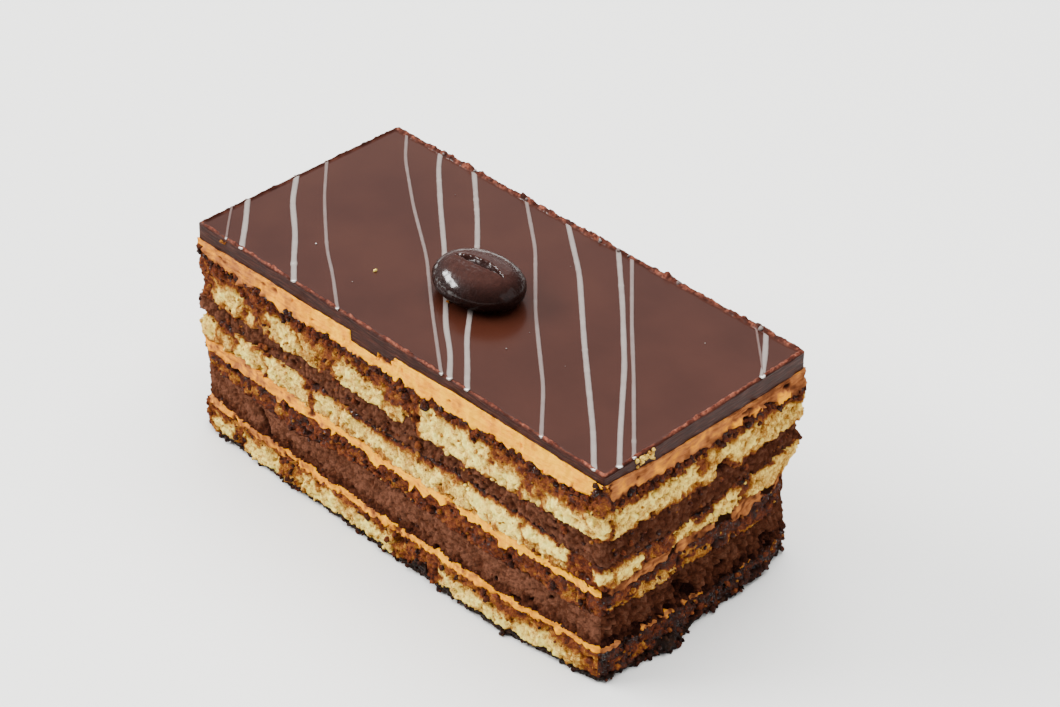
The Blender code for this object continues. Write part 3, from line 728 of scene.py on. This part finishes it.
# Painted light and shade: darker in the pits, lighter on the lump tops.
upper_dark += 0.4 * upper_hole - 0.18 * upper_crag - 0.10 * upper_fine + 0.14 * upper_side.grain(0.7, 139)
upper_dark += upper_side.faces(0, 0.18)
upper_piece = cut_layer("upper_ganache", upper_side, upper_relief, {"dark": upper_dark},
                        ganache_finish)
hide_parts("ganache_upper")


# The top sponge: almond sponge in pale islands with soaked orange and brown between them. Its upper
# crust, baked and soaked, is a nearly black band of coarse crumbs under the buttercream.
sponge_top_edge = edge((29.9, 29.4, 29.6, 30.2, 30.3), (29.9, 29.7, 29.2), 29.6, 0.30, 0.55, 145)
sponge_top_edge += bumps([
    (9.3, 0.7, -1.0), (18.2, 0.9, -0.8), (57, 0.7, -0.7), (69.5, 0.6, -0.7), (79.6, 1.3, 1.9),
    (13, 0.8, 0.4), (38.5, 1.0, 0.4), (85, 0.7, 0.5), (0.6, 1.3, 1.0), (43.2, 0.7, 0.8),
    (49.6, 0.8, 0.7), (60.5, 0.8, 0.6)])
top_side = CutSide(upper_top, sponge_top_edge)
top_relief, top_valley_shade, top_number = crumb_relief(top_side, 150)
top_pale = blotches(top_side, [
    (3.6, 9.8, 23.5, 27), (10.2, 12.4, 23.2, 25.6), (15.4, 22.4, 23, 27.3), (22.3, 26.5, 23.4, 26),
    (29.6, 39.6, 22.8, 27), (40.2, 44, 23.2, 25.8), (47.2, 56, 23.6, 28.6), (55, 60.6, 23.8, 28.8),
    (60.8, 65.6, 23.8, 26.9), (66.5, 69.6, 23.2, 25.6), (69.9, 77.6, 23.6, 26.8),
    (77.9, 80.8, 24.6, 28), (81.8, 97, 23.9, 27.9), (97, 99.8, 23.9, 25.8), (99.6, 100.8, 24, 27.8),
    (100, 104, 25.6, 27.8), (103.7, 118.7, 23.7, 27.9)], 1.8, 155)
top_tan = blotches(top_side, [
    (22.3, 26.6, 23.4, 26.4), (12.8, 15.2, 23.4, 25.2), (44, 46, 24, 26), (108, 118.7, 24, 27.6),
    (62, 65, 26.2, 27.8)], 0.9, 159)
top_orange = blotches(top_side, [
    (26.8, 30, 23.4, 26.8), (97, 99.8, 25.6, 27.8), (9.8, 10.4, 23.5, 27), (69.6, 70.2, 23.5, 26.5)],
    0.8, 163)
crust = eased((1.9 - top_side.to_upper + 0.7 * top_side.grain(2.2, 167)) / 0.9)
crust_black = eased((1.25 - top_side.to_upper + 0.6 * top_side.grain(1.5, 168)) / 0.6)
top_hole = pits(top_side, [
    (46.6, 25.8, 0.7, 0.5), (102, 24.5, 1.4, 0.9), (57.8, 26.0, 0.25, 0.2), (20, 24.6, 0.3, 0.2),
    (36, 25.4, 0.3, 0.2), (112, 25.0, 0.3, 0.3)], 169)
top_soak_and_shade = 0.58 + 0.18 * top_side.grain(1.3, 171)
top_dry = 0.16 - top_side.faces(0.07, 0) * top_side.past(44, 6)
top_soak_and_shade += (top_dry + 0.14 * top_side.grain(1.9, 172) - top_soak_and_shade) * top_pale
top_soak_and_shade += (0.34 - top_soak_and_shade) * top_tan * 0.7 + (0.54 - top_soak_and_shade) * top_orange * 0.8
top_soak_and_shade += (0.56 + 0.18 * crust_black + 0.14 * top_side.grain(0.9, 173) - top_soak_and_shade) * crust
# Painted shade: the soak is raised in the valleys between crumbs and in the pits.
top_soak_and_shade += 0.22 * (top_number - 0.5) + 0.08 * top_valley_shade + 0.2 * top_hole
top_relief += 0.10 * top_pale * (1 - crust) - 0.8 * top_hole + crust * (0.35 * (top_number - 0.4) - 0.12)
top_piece = cut_layer("top_sponge", top_side, top_relief, {"soak": top_soak_and_shade, "deep": top_valley_shade},
                      sponge_finish)
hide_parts("sponge_top")


# The top buttercream: the thickest one, spread level and chilled before the glaze was poured. The
# knife dragged its face along the cut, tore its lower edge and folded one flap of it into the glaze.
cream_top_edge = edge((32.2, 32.5, 32.9, 33.4, 33.3), (32.3, 32.0, 32.0), 32.2, 0.10, 0.06, 175)
flap = (way > 32.8) & (way < 38.3)
cream_top_edge = np.where(flap, 31.25 + 0.05 * grain(rim_places, 1.0, 176), cream_top_edge)
notch = (way >= 38.3) & (way < 41.7)
cream_top_edge = np.where(notch, 32.0 + 0.3 * grain(rim_places, 0.6, 177), cream_top_edge)
high_cream_side = CutSide(sponge_top_edge, cream_top_edge)
high_cream_torn = blotches(high_cream_side, [
    (-1, 1.4, 27, 31), (79, 80.8, 28.5, 33), (38.4, 41.4, 31.2, 33.2), (105.5, 107, 28.5, 30.2),
    (109.5, 111.5, 28.5, 30)], 0.5, 182)
high_cream_flake = blotches(high_cream_side, [
    (103.6, 105.4, 28.8, 30.2), (107, 109.4, 28.6, 30.1), (112.2, 114.6, 28.8, 30.2)], 0.5, 184)
high_cream_pit = pits(high_cream_side, [
    (14.6, 31.4, 0.6, 0.22), (5.2, 31.3, 0.5, 0.25), (17, 31.4, 0.7, 0.5), (25, 30.6, 0.4, 0.2),
    (52.4, 31.6, 0.4, 0.2), (86, 31.4, 0.4, 0.2), (106.5, 30.8, 1.0, 0.3), (114, 31.0, 0.8, 0.3)], 179)
high_cream_relief = cream_relief(high_cream_side, 178) + 0.12 + 0.3 * high_cream_flake
high_cream_relief -= 0.5 * high_cream_torn + 0.35 * high_cream_pit
high_cream_smear_and_shade = 0.08 + 0.10 * high_cream_side.grain(2.4, 186) + 0.08 * high_cream_side.grain(0.8, 189)
# Painted shade: darker in the pits, on the short sides and towards the left end of the long sides.
high_cream_smear_and_shade += 0.70 * high_cream_torn + 0.34 * high_cream_pit - 0.38 * high_cream_flake
high_cream_smear_and_shade += high_cream_side.faces(0, 0.36, 80.5) + 0.30 * high_cream_side.before(33.8, 26)
high_cream_smear_and_shade += 0.12 * high_cream_side.past(102, 6)
high_cream_smear_and_shade += 0.3 * np.clip(high_cream_side.grain(1.2, 188) - 0.35, 0, 1)
high_cream_smear_and_shade += 0.22 * eased(1 - high_cream_side.from_lower / 0.5) * eased(
    0.4 + high_cream_side.grain(1.5, 187))
high_cream_piece = cut_layer("top_buttercream", high_cream_side, high_cream_relief,
                             {"smear": high_cream_smear_and_shade}, cream_finish)
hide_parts("buttercream_top")


# The glaze: dark chocolate glaze poured over the cake and set satin smooth. The hot knife has left
# fine level scratches on its cut side and pushed up a rough reddish burr along the top edge.
glaze_finish = Finish("chocolate_glaze")
glaze_place = glaze_finish.place()
glaze_burr = glaze_finish.mask("burr")
glaze_cut = glaze_finish.mask("cut")
glaze_long = glaze_finish.node("ShaderNodeVectorMath", {"operation": "MULTIPLY"}, {
    0: glaze_place, 1: (0.07, 0.07, 1.0)})
glaze_scratch = glaze_finish.noise(glaze_long, 6500.0, 3.0)
glaze_cloud = glaze_finish.noise(glaze_place, 90.0, 3.0)
glaze_speck = glaze_finish.noise(glaze_place, 2600.0, 3.0)
glaze_crumble = glaze_finish.noise(glaze_place, 750.0, 2.0)
glaze_top_colour = glaze_finish.colours([(0.35, 48, 21, 13), (0.65, 54, 26, 17)], glaze_cloud)
glaze_cut_colour = glaze_finish.colours([
    (0.28, 28, 9, 5), (0.50, 44, 19, 13), (0.68, 65, 33, 24), (0.82, 106, 62, 46)], glaze_scratch)
glaze_burr_colour = glaze_finish.colours([
    (0.32, 44, 19, 14), (0.48, 86, 44, 34), (0.64, 138, 80, 61)], glaze_speck * 0.5 + glaze_crumble * 0.5)
glaze_body = glaze_finish.mix(glaze_cut, glaze_top_colour, glaze_cut_colour)
glaze_finish.wear(
    Base_Color=glaze_finish.mix(glaze_burr, glaze_body, glaze_burr_colour),
    Roughness=0.30 + glaze_cut * 0.16 + glaze_burr * 0.2, Specular_IOR_Level=0.05,
    Normal=glaze_finish.bump(glaze_scratch * glaze_cut + glaze_speck * glaze_burr, 0.5, 0.00012),
    Coat_Weight=0.5 - 0.5 * glaze_cut - 0.5 * glaze_burr, Coat_Roughness=0.2)

glaze_edge = slice_height - 0.14        # where the cut side ends and its rounded rim begins
glaze_side = CutSide(cream_top_edge, np.full(columns, glaze_edge))
glaze_marks = glaze_side.spot * np.array([0.06, 0.06, 1.0])
glaze_relief = 0.03 * grain(glaze_marks, 0.3, 190) + 0.04 * glaze_side.grain(2.5, 191)
glaze_relief += 0.16 * np.exp(-glaze_side.from_lower / 0.2) * np.clip(glaze_side.grain(1.4, 192), 0, 1)
glaze_side.skin = glaze_side.spot + glaze_side.out * glaze_relief[..., None]

# The burr is a ridge on the rings from the cut's upper edge to 1.1 mm in from it, wider at the back.
burr_rows = 14
burr_reach = 1.1
burr_middle = 0.38
burr_high = 0.36
across = np.linspace(0, 1, burr_rows)[:, None]
arch = np.sin(np.pi * across)
burr_strength = np.clip(0.75 + 0.8 * grain(rim_places, 3.6, 193), 0.1, 1.5)
burr_strength *= np.interp(way, [0, 47, 49, 60, 80, 82, 117, 119, 197, 199, 235],
                           [1, 1, 0.6, 0.8, 0.9, 1.2, 1.3, 1.9, 1.7, 0.9, 0.9])
burr_wide = np.interp(way, [0, 117, 119, 197, 199, 235], [0.24, 0.26, 0.55, 0.55, 0.24, 0.24])
burr_in = (burr_reach * across - 0.06 * arch)[..., None]
burr_at = glaze_side.spot[-1] * (1 - 2 * burr_in / np.array([slice_length, slice_width, np.inf]))
burr_lump = 0.72 + 0.3 * lumps(burr_at, 0.7, 194)[0] + 0.6 * grain(burr_at, 1.6, 195)
burr_lump = np.clip(burr_lump + 0.3 * grain(burr_at, 0.5, 198), 0.0, 1.9)
ridge = np.exp(-((burr_reach * across - burr_middle) / burr_wide) ** 2) * burr_strength * burr_lump
burr_at = burr_at + glaze_side.out[-1] * (0.12 * grain(burr_at, 0.5, 196))[..., None] * arch[..., None]
burr_at[..., 2] = slice_height - 0.12 * (1 - across) ** 4 + burr_high * ridge * arch ** 0.5
on_back = np.clip(0.55 + 1.3 * grain(burr_at, 1.1, 199), 0.1, 1) * eased((across - 0.18) / 0.2)
burr_torn = np.where(way > back_left, 0.2 * on_back, np.where(way > back_right, on_back, 1))
draw_in = 1 - np.array([0.015, 0.04, 0.08, 0.14, 0.22, 0.32, 0.44, 0.58, 0.72, 0.85, 0.94])[:, None, None]
top_rings = burr_at[-1] * np.concatenate([draw_in, draw_in, np.ones_like(draw_in)], axis=-1)
under_rings = [drawn_in(glaze_side.skin[0], 0.5), drawn_in(glaze_side.skin[0], 0.93)]
glaze_rings = np.concatenate([under_rings, glaze_side.skin, burr_at, top_rings])
burr_from = len(under_rings) + len(glaze_side.skin)
burr_to = burr_from + burr_rows
burr_mask = np.zeros(glaze_rings.shape[:2])
burr_mask[burr_from:burr_to] = np.clip(2.2 * ridge - 0.35, 0, 1) * (across < 1) * burr_torn
cut_mask = np.zeros(glaze_rings.shape[:2])
cut_mask[:burr_from] = np.where((way > 80) & (way < 118), 0.84, 1.0)
cut_mask[burr_from:burr_to] = eased(1.5 - burr_reach * across / 0.3 + 2.2 * (way > back_right))
glaze_piece = shell("poured_glaze", glaze_rings[None], {"burr": burr_mask[None], "cut": cut_mask[None]},
                    glaze_finish)
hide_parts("glaze")


# The drizzle: thirteen strands of white chocolate thrown across the glaze while both were soft, so they
# lie nearly flush in it. The knife has cut them at the edges, and the cut ends show white.
strands = [                 # the width, and the (x, y) bends from the front left corner of the top
    (0.40, ((0.2, 6), (2.8, 3.4), (6.4, 0))),
    (0.85, ((0.2, 8.9), (4.6, 5), (9.8, 0))),
    (0.85, ((0.2, 18), (5.1, 13.1), (12.1, 7.8), (16.8, 3.6), (21.1, 0))),
    (0.55, ((0.2, 23.7), (7.3, 17.2), (12.3, 13.1), (18.2, 8.4), (23.4, 5), (30.2, 0))),
    (0.55, ((2.4, 37.45), (7.9, 32.2), (18.2, 24.5), (29, 17.2), (39.6, 8.6), (50.7, 0))),
    (0.80, ((9.9, 37.45), (12.9, 34.2), (21.2, 27), (29.6, 20), (38.1, 12.4), (42.8, 8), (47.9, 4.2),
            (52.2, 0))),
    (0.80, ((17, 37.45), (26.8, 28.9), (32.1, 23.9), (42.3, 13.1), (46.9, 8), (50.9, 4.4), (55.5, 0))),
    (0.60, ((27.8, 37.45), (38.2, 29.2), (49, 18.6), (61.8, 7.5), (69, 0))),
    (0.80, ((36.2, 37.45), (46.8, 29.2), (59, 17.8), (72.9, 5.3), (78.2, 0))),
    (0.80, ((46.2, 37.45), (55.7, 28.4), (65.7, 18.4), (75.7, 7.2), (80, 2.6))),
    (0.60, ((48.8, 37.45), (60.4, 25.3), (67.9, 17.8), (80, 5.2))),
    (0.40, ((71.5, 37.4), (80, 29.4))),
    (0.80, ((73.3, 37.45), (76.8, 33.3), (80, 29)))]
strand_steps = 260
strand_proud = 0.10         # how far a strand rises out of the glaze, and how far it reaches in
strand_sunk = 0.12
strand_profile = np.linspace(0, 2 * np.pi, 16, endpoint=False)
drizzle_finish = Finish("white_chocolate")
drizzle_cloud = drizzle_finish.noise(drizzle_finish.place(), 700.0, 3.0)
drizzle_tone = drizzle_finish.mask("thin") + (drizzle_cloud - 0.5) * 0.25
drizzle_colour = drizzle_finish.colours([
    (0.00, 236, 232, 226), (0.20, 136, 130, 124), (0.55, 108, 96, 92), (1.00, 74, 48, 42)], drizzle_tone)
drizzle_finish.wear(Base_Color=drizzle_colour, Roughness=0.36, Specular_IOR_Level=0.1)


def strand(width, bends):
    """A strand: a flat rounded profile carried along a course that passes its bends, smoothed by
    averaging, uneven in width with a few knots, and drawn up white where the knife left its last end.
    Gives its rings and how thin each place is."""
    bends = np.array(bends)
    legs = np.concatenate([[0], np.cumsum(np.hypot(*np.diff(bends, axis=0).T))])
    share = np.linspace(0, legs[-1], strand_steps)
    reach = min(strand_steps // 3, max(3, int(2.4 / legs[-1] * strand_steps))) * 2 + 1
    course = []
    for axis in (0, 1):
        straight = np.interp(share, legs, bends[:, axis])
        padded = np.concatenate([2 * straight[0] - straight[reach:0:-1], straight,
                                 2 * straight[-1] - straight[-2:-reach - 2:-1]])
        course.append(np.convolve(padded, np.ones(reach) / reach, mode="same")[reach:-reach])
    course = np.stack([course[0] - slice_length / 2, course[1] - slice_width / 2,
                       np.zeros(strand_steps)], axis=-1)
    ahead = np.gradient(course, axis=0)
    ahead /= np.linalg.norm(ahead, axis=-1, keepdims=True)
    across_course = np.stack([ahead[:, 1], -ahead[:, 0], ahead[:, 2]], axis=-1)
    from_end = legs[-1] - share
    tip = eased(1 - from_end / 0.9)
    knot = np.clip(grain(course, 1.3, 211) - 0.5, 0, 1)
    uneven = 0.10 * grain(course, 5.0, 200 + 9 * width) + 0.05 * grain(course, 0.9, 210)
    half = 0.5 * width * (1 + uneven + 0.5 * knot)
    half *= (1 + 0.12 * tip * (1 + grain(course, 0.6, 212))) * np.sqrt(eased(0.3 + from_end / 0.5))
    sideways = np.sign(np.cos(strand_profile)) * np.abs(np.cos(strand_profile)) ** 0.6
    upward = np.where(np.sin(strand_profile) > 0, strand_proud, strand_sunk) * np.sin(strand_profile)
    rings = course[:, None] + across_course[:, None] * (half[:, None] * sideways)[..., None]
    rings[..., 2] = slice_height + 0.015 + upward + (0.16 * tip + 0.05 * knot)[:, None]
    thin = (1.15 - width - 0.3 * knot)[:, None] * (1 - tip)[:, None] + 0.55 * np.abs(sideways) ** 5
    return rings, thin


thrown = [strand(width, bends) for width, bends in strands]
drizzle = shell("drizzle", np.array([rings for rings, thin in thrown]),
                {"thin": np.array([thin for rings, thin in thrown])}, drizzle_finish)
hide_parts("glaze")


# The bean: dark chocolate moulded as a coffee bean and set on the glaze. It is glossy and nearly black
# at its sides, paler and slightly rough on top, rubbed at its left flank, and split by a lipped crease.
bean_length = 13.9
bean_breadth = 10.8
bean_thick = 5.4
bean_at = (0.7, -2.7)
bean_turn = np.radians(5)
crease_deep = 0.85
lip_high = 0.09
bean_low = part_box("coffee_bean")[0].z * 1000
bean_along = np.linspace(0.02, np.pi - 0.02, 170)[:, None]
bean_round = np.linspace(0, 2 * np.pi, 260, endpoint=False)
bean_x = -np.cos(bean_along) + 0 * bean_round
bean_swell = np.sin(bean_along) ** 0.92
bean_y = bean_swell * np.sign(np.cos(bean_round)) * np.abs(np.cos(bean_round)) ** 0.95
bean_up = bean_swell ** 0.9 * np.sin(bean_round)
bean_z = np.where(bean_up > 0, 0.60 * np.abs(bean_up) ** 1.1, 0.40 * np.tanh(1.6 * bean_up))
bean_points = np.stack([bean_x * bean_length / 2, bean_y * bean_breadth / 2, bean_z * bean_thick], axis=-1)
crease_away = bean_points[..., 1] + 0.15 - 0.12 * np.sin(bean_points[..., 0] * 0.6)
crease_away += 0.05 * grain(bean_points, 0.7, 230)
crease_end = eased((4.9 - np.abs(bean_points[..., 0] - 0.3)) / 4.0) * (bean_up > 0.1)
crease_half = 0.05 + 0.62 * crease_end
crease = np.clip(1.15 - np.abs(crease_away) / crease_half, 0, 1) ** 0.6 * eased(crease_end * 4)
lips = np.exp(-((np.abs(crease_away) - crease_half - 0.12) / 0.13) ** 2) * eased(crease_end * 4)
folds = np.cos(crease_away * 14 + 0.8 * grain(bean_points, 0.9, 235)) * crease
bean_points[..., 2] += 0.07 * folds - crease_deep * crease + lip_high * lips * (
    1 + 0.7 * grain(bean_points, 0.5, 232))
bean_points *= 1 + 0.004 * grain(bean_points, 2.2, 233)[..., None]
rubbed = eased((2.5 - bean_points[..., 0]) / 3) * eased(-bean_points[..., 1] / 2)
rubbed *= eased((bean_up + 0.1) / 0.3)
rub = grain(bean_points, 0.5, 234)
bean_points += ((0.018 + 0.04 * rubbed) * rub * (bean_up > -0.3))[..., None]
bean_points[..., 2] += bean_low - bean_points[..., 2].min()
bean_x, bean_y = bean_points[..., 0].copy(), bean_points[..., 1].copy()
bean_points[..., 0] = bean_at[0] + bean_x * np.cos(bean_turn) - bean_y * np.sin(bean_turn)
bean_points[..., 1] = bean_at[1] + bean_x * np.sin(bean_turn) + bean_y * np.cos(bean_turn)
bean_finish = Finish("bean_chocolate")
bean_place = bean_finish.place()
bean_cloud = bean_finish.noise(bean_place, 1300.0, 5.0)
bean_speck = bean_finish.noise(bean_place, 4600.0, 2.0)
bean_colour = bean_finish.colours([(0.20, 26, 11, 8), (0.55, 40, 20, 16), (0.90, 58, 33, 27)],
                                  bean_finish.mask("bloom") * 0.5 + bean_cloud * 0.5)
bean_finish.wear(Base_Color=bean_colour, Roughness=0.4, Specular_IOR_Level=0.05,
                 Normal=bean_finish.bump(bean_cloud + bean_speck * 0.6, 0.7, 0.00016),
                 Coat_Weight=bean_finish.mask("shine"), Coat_Roughness=0.12)
bean_mask = np.clip(eased((bean_up - 0.45) / 0.4) * 0.9 + lips * 0.3 - crease, 0, 1)
bean_gloss = 0.16 + 0.34 * bean_mask + 0.12 * eased((bean_up - 0.1) / 0.3) * (1 - crease)
bean_gloss = np.clip(bean_gloss + 0.9 * rubbed * np.clip(0.6 + 1.3 * rub, 0, 1), 0, 1)
bean_piece = shell("coffee_bean_moulded", bean_points[None, ::-1], {
    "bloom": bean_mask[None, ::-1], "shine": bean_gloss[None, ::-1]}, bean_finish)
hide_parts("coffee_bean")


# The loose bits: crumbs of sponge, crust and ganache that the knife tore loose and that stuck to the
# cut sides, each at its true size and pressed a little way into the face, two crumbs that fell on the
# glaze, and specks of white chocolate on the top and torn from the strands at the back edge.
body_rings = 4
body_points = 6


def crumbs_at(middle, outward, size, draw):
    """Rough little bodies, each a ball of 4 rings by 6 points that is squeezed, roughened and turned by
    chance and pressed into the face. None dips below the table."""
    count = len(size)
    up = np.linspace(-0.8, 0.8, body_rings)[:, None]
    turn = np.linspace(0, 2 * np.pi, body_points, endpoint=False)
    ball = np.stack([np.sqrt(1 - up ** 2) * np.cos(turn), np.sqrt(1 - up ** 2) * np.sin(turn),
                     up + 0 * turn], axis=-1)
    ball = ball * (0.65 + 0.7 * draw.random((count, 1, 1, 3)))
    ball = ball * (0.75 + 0.5 * draw.random((count, body_rings, body_points, 1)))
    spin = np.linalg.qr(draw.normal(size=(count, 3, 3)))[0]
    spin *= np.sign(np.linalg.det(spin))[:, None, None]
    body = np.einsum("cij,cruj->crui", spin, ball) * (0.5 * size)[:, None, None, None]
    body = body + (middle + outward * (0.15 * size)[:, None])[:, None, None]
    body[..., 2] = np.maximum(body[..., 2], 0.0)
    return body


def strew(handfuls, seed):
    """Crumbs of one kind from the (side, weight, count, smallest, largest, driest, wettest) of each
    layer, at places drawn by chance where the weight is high, most of them small. Gives their bodies
    and how soaked each is."""
    bodies = []
    soaks = []
    for number, (side, weight, count, smallest, largest, driest, wettest) in enumerate(handfuls):
        draw = np.random.default_rng(seed + number)
        chance_at = (weight * np.ones(side.z.shape)).ravel()
        picked = draw.choice(chance_at.size, count, p=chance_at / chance_at.sum())
        size = smallest + (largest - smallest) * draw.random(count) ** 2.2
        stuck_at = side.skin.reshape(-1, 3)[picked]
        outward = side.out.reshape(-1, 3)[picked]
        bodies.append(crumbs_at(stuck_at, outward, size, draw))
        share = np.random.default_rng(seed + 100 + number).random((count, 1, 1))
        soaks.append(driest + (wettest - driest) * share + np.zeros((count, body_rings, body_points)))
    return bodies, soaks


back_burr_from = 17.0
above_burr = 0.16
above_glaze = 0.02


def drop(bits, seed):
    """Bits on the glaze from rows of x, y, size and tone, a little higher where they lie on the burr of
    the back edge. Gives their bodies and tones."""
    bits = np.array(bits)
    height = slice_height + np.where(bits[:, 1] > back_burr_from, above_burr, above_glaze)
    places = np.stack([bits[:, 0], bits[:, 1], height], axis=-1)
    bodies = crumbs_at(places, np.array([[0, 0, 1.0]]), bits[:, 2], np.random.default_rng(seed))
    return bodies, bits[:, 3, None, None] + np.zeros((len(bits), body_rings, body_points))


by_the_lump = 1.0 + 2.5 * (np.abs(base_side.way - 91) < 3)
brown_bodies, brown_soak = strew([
    (top_side, crust ** 2, 800, 0.25, 1.1, 0.62, 0.95),
    (top_side, (1 - top_pale) * (1 - crust), 300, 0.2, 0.8, 0.42, 0.78),
    (bottom_side, 1 - bottom_pale, 500, 0.2, 1.0, 0.45, 0.9), (soaked_side, 1.0, 450, 0.2, 0.9, 0.5, 0.9),
    (upper_side, 1.0, 420, 0.2, 0.9, 0.56, 0.85), (mid_side, 1 - mid_pale, 220, 0.2, 0.7, 0.4, 0.75),
    (base_side, by_the_lump, 330, 0.2, 1.0, 0.74, 1.0), (thick_side, thick_low, 260, 0.15, 0.6, 0.66, 0.88),
    (high_cream_side, high_cream_torn, 60, 0.3, 0.9, 0.5, 0.9)], 300)
shell("soaked_crumbs", np.concatenate(brown_bodies), {
    "soak": np.concatenate(brown_soak), "deep": np.zeros(1)}, sponge_finish)

stuck_crumb = (np.abs(glaze_side.way - 87.1) < 1.5) & (np.abs(glaze_side.z - 33.8) < 0.6)
nicked = (np.abs(glaze_side.way - 5.9) < 0.5) & (np.abs(glaze_side.z - 34.0) < 0.3)
pale_bodies, pale_soak = strew([
    (top_side, top_pale * (1 - crust), 320, 0.2, 0.8, 0.05, 0.4),
    (mid_side, mid_pale, 320, 0.2, 0.8, 0.05, 0.38), (bottom_side, bottom_pale, 220, 0.2, 0.8, 0.05, 0.42),
    (upper_side, 1.0, 26, 0.2, 0.5, 0.4, 0.55), (soaked_side, 1.0, 40, 0.2, 0.55, 0.3, 0.5),
    (glaze_side, stuck_crumb, 30, 0.3, 0.75, 0.14, 0.32),
    (glaze_side, nicked, 7, 0.25, 0.5, 0.44, 0.55)], 500)
fallen_bodies, fallen_soak = drop([(-13.3, -9.1, 0.58, 0.05), (-0.8, -7.0, 0.55, 0.44)], 700)
shell("pale_crumbs", np.concatenate(pale_bodies + [fallen_bodies]), {
    "soak": np.concatenate(pale_soak + [fallen_soak]), "deep": np.zeros(1)}, sponge_finish)

speck_bodies, speck_thin = drop([
    (-24.1, -10.5, 0.26, 0.10), (-19.9, 12.0, 0.16, 0.5), (4.6, 10.8, 0.16, 0.5), (11.8, -4.1, 0.18, 0.4),
    (12.3, -8.8, 0.20, 0.3), (-13.5, -13.0, 0.22, 0.5), (29.6, 10.7, 0.20, 0.3), (20.4, -6.0, 0.14, 0.4),
    (-29.0, 18.2, 0.6, 0.60), (-22.4, 18.2, 0.6, 0.56), (-11.6, 18.2, 0.6, 0.60), (3.2, 18.15, 0.8, 0.50),
    (6.6, 18.15, 0.7, 0.60), (8.6, 18.2, 0.6, 0.66), (18.0, 18.2, 0.6, 0.66), (32.8, 18.2, 0.8, 0.46)], 710)
shell("white_specks", speck_bodies, {"thin": speck_thin}, drizzle_finish)
